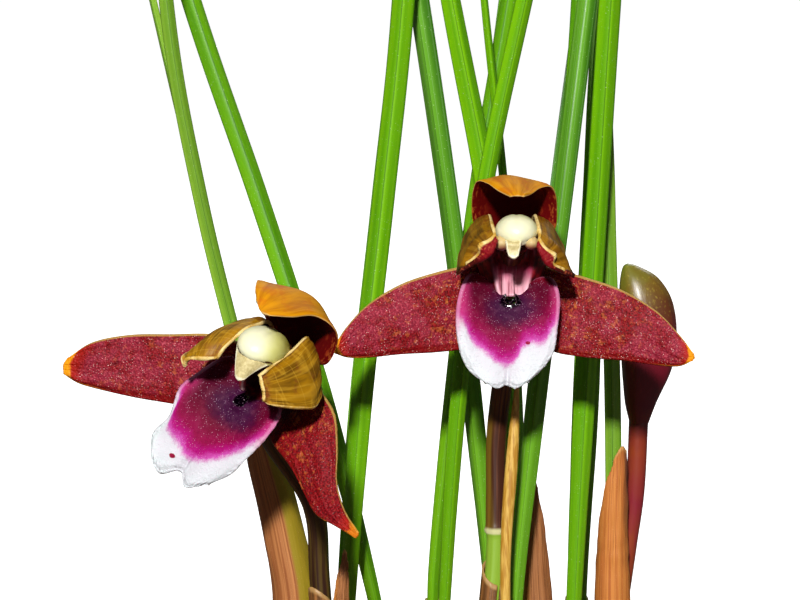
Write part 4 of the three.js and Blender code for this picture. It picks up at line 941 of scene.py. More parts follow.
lipMarks = {
    "right": {
        "border": [(-6, 4.4), (-5.5, 4.9), (-4.8, 6.4), (-4.2, 7.5), (-3.3, 8.2), (-2.7, 8.8), (-2, 9.4),
                   (-1, 9.9), (0.1, 9.8), (0.7, 9.2), (1.3, 8.1), (2.2, 7.6), (3.7, 7.4), (4.2, 6.7),
                   (5.1, 5), (6, 3.9)],
        "spots": [(1.9, 7.5, 0.17), (4.45, 5.1, 0.08)], "callus": (1.35, 0.72)},
    "left": {
        "border": [(-6, 5), (-5.4, 6.3), (-5.1, 8.3), (-4.7, 9.2), (-4, 9.6), (-2.5, 9.9), (-1.7, 10.4),
                   (-0.4, 10.3), (0.5, 9.8), (1.9, 8.7), (3.2, 7.3), (4.2, 5.9), (5.2, 3.5), (6, 1.5)],
        "spots": [(-2.6, 11.1, 0.24)], "callus": (0.85, 0.6)},
}


def bloomFinishes():
    return {
        "lateral": lateralSepalFinish("side sepal", 0.85),
        # a copy with little haze and glint, painting the shade on the sepal that lies in shadow
        "shaded": lateralSepalFinish("side sepal shaded", 0.12),
        "dorsal": dorsalSepalFinish(),
        "petalright": petalFinish("petal right", "5E3A02", "96660A", 1),
        "petalleft": petalFinish("petal left", "6C4804", "A07008", 0),
        "lipright": lipFinish("lip right", **lipMarks["right"]),
        "lipleft": lipFinish("lip left", **lipMarks["left"]),
        "cap": capFinish(),
        "column": columnFinish(),
    }


finishes = bloomFinishes()

# Each grid says how many points lie along and across a blade. A pair of thicknesses is for its middle and its
# margin
bladeSizes = {
    "sepal": {"grid": (90, 44), "thickness": (0.5, 0.26)},
    "hood": {"grid": (90, 60), "thickness": (0.42, 0.24)},
    "petal": {"grid": (110, 76), "thickness": (0.34, 0.46)},
    "lip": {"grid": (130, 110), "thickness": (0.85, 0.4)},
    "trough": {"grid": (70, 64), "thickness": 0.4},
    "flap": {"grid": (50, 40), "thickness": 0.34},
    "bract": {"grid": (60, 50), "thickness": 0.2},
    "papillae": {"perSquareMetre": 1.6e7, "size": 0.07},
}


def taperedThickness(steps, columns, full, thin, margin=0.12):
    along, across = evenGrid(steps, columns)
    inside = np.minimum(np.minimum(across, 1 - across), 1.6 * (1 - along)) / margin
    return thin + (full - thin) * smoothStep(inside, 0, 1)


def sepalShape(rows, seed):
    size = bladeSizes["sepal"]
    thick = taperedThickness(*size["grid"], *size["thickness"])

    def relief(across, along, side):
        veins = 0.03 * np.sin(across * 46 + 2 * ripple(across, along, seed)) * smoothStep(along, 0, 0.2)
        return veins + 0.09 * ripple(across, along * 2, seed + 1) * smoothStep(1 - along, 0, 0.15)

    return sheet(smoothGrid(rows, *size["grid"], 0.35), thick, relief=relief)


def hoodShape(rows, seed):
    size = bladeSizes["hood"]
    thick = taperedThickness(*size["grid"], *size["thickness"], 0.08)

    def relief(across, along, side):
        return 0.07 * ripple(across, along, seed) * smoothStep(along, 0, 0.2)

    return sheet(smoothGrid(rows, *size["grid"], 0.3), thick, (0, -0.5, -1), relief)


def petalShape(rows, seed):
    # Cupped round the column, with a thin wavy rim turned out at the tip and along the lower margin
    steps, columns = bladeSizes["petal"]["grid"]
    middle, margin = bladeSizes["petal"]["thickness"]
    grid = smoothGrid(rows, steps, columns, 0.3)
    along, across = evenGrid(steps, columns)
    facing = (-np.sign(grid[steps // 2, columns // 2, 0]), 0, -0.3)
    toTip = smoothStep(along, 0.8, 1)
    toLow = smoothStep(across, 0.82, 1) * smoothStep(along, 0.3, 0.6)
    toTop = smoothStep(across, 0.14, 0) * smoothStep(along, 0.25, 0.5)
    rim = np.maximum(np.maximum(toTip, toLow), toTop)
    edge = np.minimum(np.minimum(1 - along, (1 - across) * 0.9), across * 0.9)
    inward = facingNormal(grid, facing)
    lengthwise = unit(np.gradient(grid, axis=0))
    wave = 0.14 * np.sin(along * 13 + across * 8 + seed) + 0.08 * np.sin(across * 17 + seed * 2)
    curl = (0.16 * rim ** 2 + 0.6 * wave * rim ** 1.5)[..., None]
    grid = grid - inward * curl + lengthwise * (toTip * 0.05 * np.sin(across * 12 + seed))[..., None]
    thick = middle + (margin - middle) * smoothStep(edge, 0.06, 0.02)
    thick = thick * (0.7 + 0.3 * smoothStep(edge, 0, 0.02))

    def relief(u, v, side):
        veins = 0.012 * np.sin(u * 56 + 3 * ripple(u, v, seed, 3, 0.5, 1.5))
        return veins + 0.05 * ripple(u * 1.5, v * 1.5, seed)

    return sheet(grid, thick, facing, relief, edge=edge)


def lipShape(rows, lean, seed):       # lean bends the groove between the lobes to one side
    size = bladeSizes["lip"]
    grid = smoothGrid(rows, *size["grid"], 0.35)
    thick = taperedThickness(*size["grid"], *size["thickness"], 0.1)
    centre = grid[..., 0]
    drop = -grid[..., 2]

    def relief(u, v, side):
        edge = smoothStep(np.minimum(np.minimum(u, 1 - u) * 2, (1 - v) * 1.3), 0.14, 0)
        frill = 0.05 * edge * np.sin(v * 95 + np.sin(v * 31) * 2) * smoothStep(v, 0.1, 0.3)
        frill += 0.05 * edge * np.sin(u * 80 + np.sin(u * 23)) * smoothStep(v, 0.75, 0.95)
        if side < 0:
            return frill
        middle = centre + lean * grid[..., 2] ** 2
        groove = -0.42 * np.exp(-(middle / 0.24) ** 2) * smoothStep(v, 0.7, 0.95)
        lobes = 0.42 * np.exp(-((np.abs(middle) - 2) / 1.3) ** 2) * smoothStep(v, 0.55, 0.9)
        ring = np.sqrt((centre / 1.3) ** 2 + ((drop - 3.4) / 0.75) ** 2)
        callus = 0.42 * np.exp(-((ring - 0.75) / 0.3) ** 2) - 0.3 * np.exp(-(ring / 0.45) ** 2)
        folds = 0.06 * ripple(u * 2, v * 2, seed) * smoothStep(v, 0.15, 0.4)
        return frill + groove + lobes + callus + folds

    return sheet(grid, thick, relief=relief, side=centre, drop=drop)


def growPapillae(name, source, material, seed):
    # Tiny glistening papillae over the front of the lip, below the callus
    group = NodeGroup("papillae", {"Density": "NodeSocketFloat", "Size": "NodeSocketFloat",
                                   "Material": "NodeSocketMaterial"})
    behind, drop = (group.add("GeometryNodeInputNamedAttribute", {"data_type": "FLOAT"}, {"Name": field})
                    for field in ("behind", "drop"))
    density = group.given("Density") * ((1 - behind.fade(0.3, 0.8)) * drop.fade(3.6, 5.5))
    points = group.add("GeometryNodeDistributePointsOnFaces", {"distribute_method": "RANDOM"},
                       {"Mesh": group.given("Geometry"), "Density": density, "Seed": seed})
    bead = group.add("GeometryNodeMeshIcoSphere", None, {"Radius": 1.0, "Subdivisions": 1})
    size = group.add("FunctionNodeRandomValue", {"data_type": "FLOAT"}, {2: 0.5, 3: 1.0, "Seed": seed + 1}, 1)
    beads = group.add("GeometryNodeInstanceOnPoints", None,
                      {"Points": points, "Instance": bead, "Scale": size * group.given("Size")})
    papillae = bladeSizes["papillae"]
    piece = grownMesh(placed("copy", source.data.copy()), group.result(beads), name, {
        "Density": papillae["perSquareMetre"], "Size": papillae["size"] * mm, "Material": material})
    dressPiece(piece, material, "lip_magenta")


def capShape(cap):
    # A helmet with a flat underside, a shallow crest and a turned front edge
    polar = np.linspace(0.001, math.pi * 0.995, 40)[:, None]
    angle = turnAngles(64)[None]
    x = np.sin(polar) * np.cos(angle)
    y = np.sin(polar) * np.sin(angle)
    z = np.cos(polar) * np.ones_like(angle)
    front = smoothStep(-y, -0.1, 0.7)
    under = -0.7 + 0.42 * x * x * front
    above = z - under
    jagged = above - cap["seam"] + 0.02 * np.sin(angle * 31) + 0.02 * np.sin(angle * 13)
    groove = np.exp(-(jagged / 0.09) ** 2) * front
    rim = smoothStep(above, 0.3, 0.0) * front
    z = np.where(above < 0, under + 0.1 * above, z)
    x = x * (1 - 0.05 * groove) * (1 - 0.08 * smoothStep(-z, 0.1, 0.7))
    y = y * (1 - 0.05 * groove)
    z = z - 0.04 * np.exp(-(x / 0.1) ** 2) * smoothStep(z, -0.2, 0.6)
    helmet = np.stack([x, y, z], axis=-1) * np.array(cap["radii"])
    return ringBody(helmet + np.array(cap["centre"]), depth=helmet[..., 1], side=helmet[..., 0] * cap["oliveAndShade"],
                    rim=rim, groove=groove * cap["crevice"])


# the last value of each cap sets how far it greens towards its right side, partly painted shade
caps = {
    "right": {"centre": (0.5, -5.6, 4.95), "radii": (2.35, 2.9, 1.9), "crevice": 0.2, "seam": 0.16,
              "oliveAndShade": 0.08},
    "left": {"centre": (0.8, -5.3, 4.4), "radii": (2.55, 3.2, 1.95), "crevice": 1, "seam": 0.32, "oliveAndShade": 0.3},
}
stalks = {
    "right": [(3.4, -17.6, 69.4), (4.9, -17.3, 88), (6.2, -15.8, 102), (6.4, -15, 110), (6.5, -14.6, 118)],
    "left": [(-12.4, -16.6, 69.4), (-12.8, -16.6, 88), (-13.6, -16.4, 101), (-14.4, -17.6, 110)],
}
ovary = [(0, 7, -9), (0, 6.9, -5.5), (0, 5.6, -2), (0, 3, -0.2), (0.1, 1, 1.6), (0.2, -0.8, 2.9),
         (0.3, -2, 3.2)]
columnParts = {
    "stalkRadius": 1.15, "ovaryRadii": [1.15, 1.3, 1.45, 1.5, 1.55, 1.6, 1.4],
    # the hollow front of the column and its foot down to the lip's base, with a wing on either side painted
    # dark as shade
    "trough": [
        [(-3.2, -1, 3.6), (-2.2, -3, 3.5), (-1.4, -2, 3.2), (0.3, -1.4, 3), (1.9, -2, 3.2), (2.7, -3, 3.5),
         (3.7, -1, 3.6)],
        [(-3.6, 0, 2), (-2.3, -2.2, 2), (-1.4, -0.6, 1.8), (0.3, 0.1, 1.6), (2, -0.6, 1.8), (2.8, -2.2, 2),
         (4.1, 0, 2)],
        [(-3.4, 0.2, 0.4), (-2, -1.8, 0.4), (-1.1, -0.3, 0.2), (0.3, 0.2, 0.1), (1.7, -0.3, 0.2),
         (2.6, -1.8, 0.4), (3.8, 0.2, 0.4)],
        [(-2.7, -0.3, -1.1), (-1.6, -1.6, -1.1), (-0.9, -0.6, -1.3), (0.2, -0.3, -1.4), (1.3, -0.6, -1.3),
         (2.1, -1.6, -1.1), (3.1, -0.3, -1.1)],
        [(-1.8, -1.4, -2.4), (-1.2, -1.8, -2.5), (-0.6, -1.8, -2.55), (0.2, -1.8, -2.55), (0.9, -1.8, -2.55),
         (1.6, -1.8, -2.5), (2.2, -1.4, -2.4)],
    ],
    "shelf": [(0.3, -0.6, 2.9), (0.3, -3, 2.9), (0.4, -6, 3.2)], "shelfRadii": [1.6, 1.5, 1.3],
    "arms": {"right": [((-1.15, -7, 3.9), (0.95, 1.05, 0.82)), ((2.05, -6.9, 3.9), (0.78, 1.05, 0.75))],
             "left": []},
}
flaps = {
    "right": [
        [(-0.9, -6.9, 4.1), (-0.4, -7.3, 4), (0.1, -7.4, 3.95), (0.6, -7.3, 4), (1.1, -6.9, 4.1)],
        [(-0.68, -8.45, 4.1), (-0.3, -8.6, 4), (0.1, -8.65, 3.95), (0.5, -8.6, 4), (0.85, -8.45, 4.1)],
        [(-0.58, -8.7, 3.4), (-0.25, -8.7, 3.3), (0.1, -8.7, 3.3), (0.4, -8.7, 3.3), (0.7, -8.7, 3.4)],
        [(-0.42, -8.85, 2.75), (-0.15, -8.9, 2.55), (0.1, -8.95, 2.5), (0.35, -8.9, 2.55),
         (0.55, -8.85, 2.75)],
    ],
    "left": [
        [(-0.9, -7.2, 3.8), (0.2, -7.7, 4.05), (1.1, -7.9, 4.15), (2, -7.7, 4.1), (2.75, -6.9, 3.85)],
        [(-0.2, -7.8, 3), (0.5, -8.1, 3.2), (1.2, -8.3, 3.25), (1.8, -8, 3.2), (2.35, -7.4, 3.2)],
        [(0.4, -8.2, 2.3), (0.9, -8.4, 2.4), (1.3, -8.5, 2.4), (1.7, -8.3, 2.4), (2, -7.8, 2.5)],
        [(1, -8.5, 1.65), (1.25, -8.65, 1.55), (1.45, -8.7, 1.55), (1.65, -8.65, 1.6), (1.85, -8.4, 1.75)],
    ],
}
# Where a bract once sat on each stalk, and the mouth of the one still there
stalkMarks = {
    "right": {"ring": 106.4, "mouth": 101.6, "turn": 300},
    "left": {"ring": 60, "mouth": 99, "turn": 40},
}



def ballRings(centre, radii, levels, sides):
    polar = np.linspace(0.02, math.pi - 0.02, levels)[:, None]
    angle = turnAngles(sides)
    x, y, z = np.sin(polar) * np.cos(angle), np.sin(polar) * np.sin(angle), np.cos(polar) + 0 * angle
    return np.stack([x, y, z], axis=-1) * np.array(radii) + np.array(centre)


def stalkShape(side, place):          # the flower stalk and the ovary in one tube, up to the column
    steps, sides = 150, 28
    route = np.concatenate([np.array(stalks[side], float), place(ovary)])
    radii = [columnParts["stalkRadius"]] * len(stalks[side]) + columnParts["ovaryRadii"]
    tube = tubeRings(route, radii, sides, steps)
    ring = stalkMarks[side]["ring"]
    level = tube.mean(axis=1)[:, 2]
    node = 0.16 * np.exp(-((level - ring) / 0.35) ** 2) - 0.12 * smoothStep(level, ring, ring - 0.4)
    angles = turnAngles(sides)
    ribs = 1 + node[:, None] + 0.03 * np.sin(angles * 6) + 0.015 * np.sin(angles * 11)
    tube = swollen(tube, ribs[..., None])
    shape = ringBody(tube, height=tube[..., 2], side=np.tile(angles / 2 / math.pi, (steps, 1)))
    return shape.marked(part=0 if side == "right" else -1)


def flapShape(side):
    shape = sheet(smoothGrid(flaps[side], *bladeSizes["flap"]["grid"], 0.4), bladeSizes["flap"]["thickness"])
    across, along = shape.fields["across"], shape.fields["along"]
    rimmed = np.minimum(np.minimum(across, 1 - across), 1 - along)
    shape.fields["side"] = smoothStep(rimmed, 0.14, 0.05)
    return shape.marked(part=4)


def bractShape(side):
    # A papery bract rolled round the foot of the stalk, with its mouth cut aslant
    marks = stalkMarks[side]
    foot = 72
    along, across = evenGrid(*bladeSizes["bract"]["grid"])
    angle = across * math.radians(340) + math.radians(marks["turn"] + 10)
    slant = 1.2 * np.cos(angle - math.radians(marks["turn"] + 180))
    z = foot + along * (marks["mouth"] + slant - foot)
    stalk = np.array(stalks[side], float)
    x, y = (np.interp(z, stalk[:, 2], stalk[:, k]) for k in (0, 1))
    reach = 1.26 + 0.25 * (1 - along) + 0.02 * along ** 6 + 0.02 * np.sin(angle * 40)
    shape = sheet(ringPoints(x, y, reach, reach, angle, z), bladeSizes["bract"]["thickness"])
    shape.fields["side"] = shape.fields["across"]
    shape.fields["height"] = shape.points[:, 2]
    return shape.marked(part=5)


def columnShape(side, place):
    c = columnParts
    size = bladeSizes["trough"]
    trough = sheet(smoothGrid(c["trough"], *size["grid"]), size["thickness"])
    trough.fields["side"] = trough.points[:, 0]
    # the left bloom's hollow takes the dark column colour with no pink foot: painted shade
    trough.marked(part=2 if side == "right" else 1)
    shelf = ringBody(tubeRings(c["shelf"], c["shelfRadii"], 24, 16, 0.45)).marked(part=1)
    parts = [trough, shelf, flapShape(side)]
    for centre, radii in c["arms"][side]:
        arm = ringBody(ballRings(centre, radii, 16, 20)).marked(part=3)
        arm.fields["low"] = (centre[2] - arm.points[:, 2]) / radii[2]
        parts.append(arm)
    for piece in parts:
        piece.moved(place).marked(height=130)
    whole = stalkShape(side, place)
    for piece in parts + [bractShape(side)]:
        keep = {k: piece.fields[k] for k in ("part", "along", "side", "height", "low") if k in piece.fields}
        whole.take(piece.points, piece.faces, **keep)
    return whole


def growBloom(side, hood, sepals, petals, lipRows):
    bloom = blooms[side]
    seed = bloom["seed"]
    place = bloomPlacing(bloom)
    lipTone = finishes["lip" + side]
    makePiece(f"hood_{side}", hoodShape(hood, seed).moved(place), finishes["dorsal"], "sepal_red",
              f"dorsal_sepal_{side}")
    for letter, (rows, finish) in zip("ab", sepals):
        makePiece(f"side_sepal_{side}_{letter}", sepalShape(rows, seed + ord(letter)).moved(place),
                  finishes[finish], "sepal_red", f"lateral_sepal_{side}_{letter}")
    for letter, rows in zip("ab", petals):
        makePiece(f"petal_{side}_{letter}_shaped", petalShape(rows, seed + ord(letter)).moved(place),
                  finishes["petal" + side], "petal_ochre", f"petal_{side}_{letter}")
    lipPiece = makePiece(f"lip_{side}_shaped", lipShape(lipRows, bloom["lean"], seed + 5).moved(place),
                         lipTone, "lip_magenta", f"lip_{side}")
    growPapillae(f"papillae_{side}", lipPiece, lipTone, seed)
    makePiece(f"anther_cap_{side}_shaped", capShape(caps[side]).moved(place), finishes["cap"], "cap_cream",
              f"anther_cap_{side}")
    makePiece(f"column_{side}", columnShape(side, place), finishes["column"], "stalk_brown",
              f"column_and_stalk_{side}")


rightSepal = shifted(mirrored(lateralSepal), 1.03, (0, -0.3, -0.45, -0.45, -0.4, -0.4, -0.15))
growBloom("right", dorsalSepal, ((lifted(lateralSepal), "lateral"), (rightSepal, "lateral")),
          (petal, rightPetal), lip)
growBloom("left", leftHood, ((droopingSepal, "lateral"), (narrowSepal, "shaded")),
          (droopingPetal, flaredPetal), leftLip)
print("blooms grown")


# The bud: three sepals closed over each other, with a chin low on its right
budShape = {
    "centres": [(23.6, 0, 116), (23.8, 0, 118.5), (24.4, -0.2, 122), (24.5, -0.3, 126), (24.1, -0.2, 130),
                (23.3, 0, 133), (22.4, 0.1, 134.6), (22.2, 0.1, 135)],
    "halfWidths": [1.1, 1.9, 2.9, 3.3, 3.1, 2.2, 0.9, 0.1],
    "halfDepths": [1.1, 1.7, 2.4, 2.7, 2.5, 1.8, 0.8, 0.1],
    "stalk": [(19.6, 2.4, 69.4), (21.4, 1.6, 90), (22.6, 0.4, 101), (23.3, 0, 108), (23.6, 0, 116.4)],
    "stalkRadii": [0.9, 0.9, 0.95, 1.1, 1.15],
}


def budFinish():
    f = Finish("bud")
    height = f.field("height")
    streak = f.noise(f.spot(0.8, (1, 1, 0.14)), 3, 0.6)
    level = height + (f.noise(f.spot(2.5), 3) - 0.5) * 5 - f.field("side") * 0.5
    base = f.ramp((level - 102) / 34, [
        (0.0, "8E3A20"), (0.12, "84202C"), (0.32, "8A3418"), (0.46, "6A0C20"),
        (0.68, "6E0C20"), (0.78, "5C3014"), (0.88, "6E5416"), (1.0, "6C7A20")])
    colour = f.layered(
        base,
        ("8A2034", streak.fade(0.55, 0.7) * height.fade(126, 118) * 0.5),
        ("A08A30", f.noise(f.spot(0.35), 3).fade(0.56, 0.7) * height.fade(126, 131) * 0.5))
    return f.done(colour=colour, roughness=0.34 + streak * 0.15, normal=f.bump(streak, 0.06), specular=0.45,
                  coat=0.2, coatRoughness=0.25)


def growBud():
    places = np.linspace(0, 1, 90)
    x, y, z = spline(budShape["centres"], places).T[..., None]
    wide, deep = (spline(budShape[name], places)[:, None] for name in ("halfWidths", "halfDepths"))
    angles = turnAngles(48)
    thirds = np.mod(angles * 3 / (2 * math.pi) + 0.5 + 0.25 * places[:, None], 1) - 0.5
    seam = 1 + 0.05 * np.cos(3 * angles) - 0.05 * np.exp(-(thirds / 0.05) ** 2)
    height = z + 0.25 * wide * np.cos(angles) * np.sin(math.pi * places)[:, None]
    rings = ringPoints(x, y, wide * seam, deep * seam, angles, height)
    material = budFinish()
    makePiece("bud_shaped", ringBody(rings, height=height, side=rings[..., 0] - x), material, "bud_maroon",
              "bud")
    stalk = tubeRings(budShape["stalk"], budShape["stalkRadii"], 24, 80)
    makePiece("bud_stalk_shaped", ringBody(stalk, height=stalk[..., 2]), material, "bud_maroon", "bud_stalk")


growBud()


# Papery sheaths and bracts: rolled sheets with lengthwise fibres and a pointed top
sheaths = {
    "sheath_left": {
        "axis": [(-19.6, -10.8, 70.6), (-18.8, -10.8, 82), (-16.6, -10.8, 95), (-17.8, -11, 105),
                 (-19.8, -11.4, 113.5), (-21.2, -11.6, 118.3)],
        "radii": [2, 2.2, 2.4, 2.3, 2, 1], "spans": [320, 300, 250, 200, 150, 80], "face": 262,
        "tone": "left"},
    "sheath_right": {
        "axis": [(21, -3, 70.6), (20.5, -3, 96), (20.5, -3, 104), (20.7, -2.8, 113.9)],
        "radii": [2.7, 1.95, 1.6, 1.3], "spans": [320, 300, 240, 90], "face": 306, "tone": "right"},
    "bract_middle": {
        "axis": [(12.8, -2.7, 70.6), (12.1, -2.8, 88), (11.4, -2.9, 100), (11.3, -3, 109.6)],
        "radii": [2, 1.9, 1.5, 0.8], "spans": [280, 230, 160, 50], "face": 270, "tone": "brown"},
    "bract_left_thin": {
        "axis": [(-10.6, -19.4, 70.6), (-11, -19.2, 88), (-11.2, -19, 98), (-10.8, -19, 105)],
        "radii": [1.1, 1, 0.8, 0.5], "spans": [260, 220, 160, 70], "face": 280, "tone": "brown"},
}


def sheathFinish(name, base, light, flush, place, height):
    # flush is a second colour; place and height say where it lies, as (from, to) of turn and of millimetres
    f = Finish(name)
    turn, along, level = f.field("turn"), f.field("along"), f.field("height")
    fibres = f.noise(f.xyz(turn * 16, along * 1.5, 3.3), 4, 0.65)
    fine = f.noise(f.xyz(turn * 42, along * 2.5, 5.3), 2, 0.5)
    flushed = (turn + (fibres - 0.5) * 0.2).fade(*place) * level.fade(*height)
    colour = f.layered(
        f.mix(base, light, fibres.fade(0.36, 0.64)),
        ("6A3414", fine.fade(0.54, 0.7) * 0.4),
        (flush, flushed * 0.92),
        ("E0A878", f.cells(f.spot(0.3)).fade(0.16, 0.06) * 0.4),
        ("C89A5A", along.fade(0.98, 0.995) * 0.6))
    return f.done(colour=colour, roughness=0.5 + fibres * 0.15, normal=f.bump(fibres + fine * 0.5, 0.08),
                  specular=0.35)


sheathTones = {
    "left": sheathFinish("sheath left", "96562C", "C07E48", "948214", (0.08, 0.24), (60, 70)),
    "right": sheathFinish("sheath right", "B4642A", "D0843C", "5E3024", (0.3, 0.75), (100, 112)),
    "brown": sheathFinish("bract brown", "7E4A26", "AC7040", "B8742E", (-0.2, -0.6), (60, 70)),
}


def growSheaths():
    for name, s in sheaths.items():
        along, across = evenGrid(100, 60)
        places = along[:, 0]
        x, y, z = spline(s["axis"], places).T[..., None]
        radii, spans = (spline(s[key], places)[:, None] for key in ("radii", "spans"))
        angle = np.radians(s["face"] + spans * (across - 0.5))
        fibre = 0.015 * np.sin(angle * 38 + 3 * np.sin(along * 7))
        reach = radii + fibre + 0.05 * ripple(across * 2, along * 3, len(name))
        pointed = -1.6 * (2 * across - 1) ** 2 * smoothStep(along, 0.85, 1)
        grid = ringPoints(x, y, reach, reach, angle, z + pointed)
        turn = (np.degrees(angle) - 270) / 90
        makePiece(name + "_paper", sheet(grid, 0.28, turn=turn, height=grid[..., 2]), sheathTones[s["tone"]],
                  "sheath_brown", name)


growSheaths()


# The rolled young shoot beside the right stalk
shoot = {
    "route": [(7.9, -18.8, 69.4), (7.6, -18.5, 88), (7.4, -17.9, 103), (8.2, -16.9, 115), (8.7, -16.2, 124)],
    "radii": [0.5, 0.5, 0.6, 0.7, 0.2], "flat": 0.75,
}


def shootFinish():
    f = Finish("young shoot")
    streak = f.noise(f.spot(0.35, (1, 1, 0.08)), 3, 0.6)
    colour = f.layered(
        f.mix("B07C22", "D8AE50", streak.fade(0.4, 0.62)),
        ("8A9A30", f.field("along").fade(0.45, 0.2)))
    return f.done(colour=colour, roughness=0.45, normal=f.bump(streak, 0.05), coat=0.1)


def growShoot():
    sides, steps = 22, 100
    rings = tubeRings(shoot["route"], shoot["radii"], sides, steps, shoot["flat"])
    spiral = 1 + 0.1 * np.cos(turnAngles(sides) + np.linspace(0, 9, steps)[:, None])
    makePiece("young_shoot_rolled", ringBody(swollen(rings, spiral[..., None])), shootFinish(), "shoot_tan",
              "young_shoot")


growShoot()
print("bud, sheaths and shoot grown")


# Pseudobulbs on their creeping rhizomes
bulb = {
    "halfWidth": 4.7, "halfDepth": 3.4, "ridges": 6, "top": 91.1,
    "levels": [0, 0.05, 0.15, 0.38, 0.62, 0.84, 0.95, 1],
    "swell": [0.1, 0.5, 0.85, 1, 0.86, 0.52, 0.34, 0.3],
}
rhizome = {"radius": 2.4, "height": 71.6}
chains = {
    "rhizome_front": [(-16, -3.6), (-11.2, -10.4), (0.5, -7.7), (8.6, -12.4), (15.5, -8.3)],
    "rhizome_middle": [(-6.4, -1.7), (-0.2, 2.2), (6.6, 0)],
    "rhizome_back": [(-11.4, 12.2), (0.1, 16.4), (10.2, 20.4), (17.4, 17.2), (17.4, 8.5), (10.2, 8.6)],
}


def bulbFinish():
    f = Finish("pseudobulb")
    height = f.field("height")
    streak = f.noise(f.spot(0.6, (1, 1, 0.18)), 4, 0.6)
    colour = f.layered(
        f.mix("5E7A1C", "93A83E", streak.fade(0.38, 0.62)),
        ("7A5A22", f.noise(f.spot(4), 3).fade(0.52, 0.7) * 0.6),
        ("6E4A22", (height + streak * 4).fade(80, 73)),
        ("B89A60", (height + streak * 2).fade(90.6, 92) * 0.6))
    return f.done(colour=colour, roughness=0.4 + streak * 0.2, normal=f.bump(streak, 0.12), coat=0.1,
                  coatRoughness=0.3)


def bulbShape(x, y, base, number):
    places = np.linspace(0, 1, 60)
    level, swell = (spline(bulb[name], places)[:, None] for name in ("levels", "swell"))
    angle = turnAngles(48)
    ridge = 1 + 0.06 * np.cos(angle * bulb["ridges"] + number) + 0.02 * np.sin(angle * 17 + number * 2)
    rings = ringPoints(x, y, bulb["halfWidth"] * swell * ridge, bulb["halfDepth"] * swell * ridge, angle,
                       base + level * (bulb["top"] - base))
    return ringBody(rings, height=rings[..., 2])


def growBulbs():
    material = bulbFinish()
    height, radius = rhizome["height"], rhizome["radius"]
    for name, places in chains.items():
        count = len(places)
        stem = tubeRings([(x, y, height) for x, y in places], [radius] * count, 28, 40 * count)
        turns = np.linspace(0, math.pi * 4 * count, 40 * count)
        nodes = 1 - 0.09 * np.exp(-(np.sin(turns) / 0.25) ** 2)
        whole = ringBody(swollen(stem, nodes[:, None, None])).marked(height=height)
        for number, (x, y) in enumerate(places):
            grown = bulbShape(x, y, height - radius - 0.3, number)
            whole.take(grown.points, grown.faces, **grown.fields)
        makePiece(name + "_bulbs", whole, material, "bulb_green", name)


growBulbs()
print("pseudobulbs grown")


# Bark mix: a filled bed with chips scattered over it
bark = {
    "top": 69.4, "radius": 40.2, "sides": 64,
    "levels": [(5.3, 29.2), (30, 33.2), (55, 37), (67.9, 39.2), (69.4, 38.2), (69.4, 20), (69.4, 2)],
}
loose = {
    "bark_chips": {"size": (8.5, 5.5, 3.2), "corners": (6, 5, 4), "spacing": 5.2, "perSquareMetre": 2e5,
                   "rough": 4.2, "seed": 4, "inset": 3.5},
    "bark_crumbs": {"size": (2.6, 1.9, 1.3), "corners": (3, 2, 2), "spacing": 1.7, "perSquareMetre": 1.6e5,
                    "rough": 1.6, "seed": 9, "inset": 1.6},
}


def barkFinish():
    f = Finish("bark")
    layers = f.noise(f.spot(2.2, (1, 1, 2.5)), 5, 0.65)
    grain = f.noise(f.spot(0.5, (1, 1, 2)), 4, 0.6)
    colour = f.layered(
        f.mix("3E2414", "8A5A34", layers.fade(0.35, 0.65)),
        ("B08458", grain.fade(0.55, 0.72) * 0.5),
        ("2A180E", f.noise(f.spot(9), 2).fade(0.45, 0.65) * 0.5))
    return f.done(colour=colour, roughness=0.85, normal=f.bump(layers + grain * 0.6, 0.6), specular=0.25)


def chipGroup(name, size, corners):
    group = NodeGroup(name, {"Spacing": "NodeSocketFloat", "Density": "NodeSocketFloat",
                             "Seed": "NodeSocketInt", "Roughness": "NodeSocketFloat",
                             "Material": "NodeSocketMaterial"})
    points = group.add("GeometryNodeDistributePointsOnFaces", {"distribute_method": "POISSON"},
                       {"Mesh": group.given("Geometry"), "Distance Min": group.given("Spacing"),
                        "Density Max": group.given("Density"), "Seed": group.given("Seed")})
    chip = group.add("GeometryNodeMeshCube", None,
                     {"Size": tuple(k * mm for k in size), "Vertices X": corners[0],
                      "Vertices Y": corners[1], "Vertices Z": corners[2]})
    turn = group.add("FunctionNodeRandomValue", {"data_type": "FLOAT_VECTOR"},
                     {0: (-0.4, -0.4, 0.0), 1: (0.4, 0.4, 6.28), "Seed": 3}, 0)
    scale = group.add("FunctionNodeRandomValue", {"data_type": "FLOAT_VECTOR"},
                      {0: (0.55, 0.6, 0.6), 1: (1.15, 1.2, 1.2), "Seed": 5}, 0)
    chips = group.add("GeometryNodeInstanceOnPoints", None,
                      {"Points": points, "Instance": chip, "Rotation": turn, "Scale": scale})
    real = group.add("GeometryNodeRealizeInstances", None, {"Geometry": chips})
    position = group.add("GeometryNodeInputPosition")
    rough = group.add("ShaderNodeTexNoise", {"noise_dimensions": "3D"},
                      {"Vector": position, "Scale": 330.0, "Detail": 2.0}, "Color")
    push = rough.vector("SUBTRACT", (0.5, 0.5, 0.5)).scaled(group.given("Roughness"))
    shaped = group.add("GeometryNodeSetPosition", None, {"Geometry": real, "Offset": push})
    return group.result(shaped)


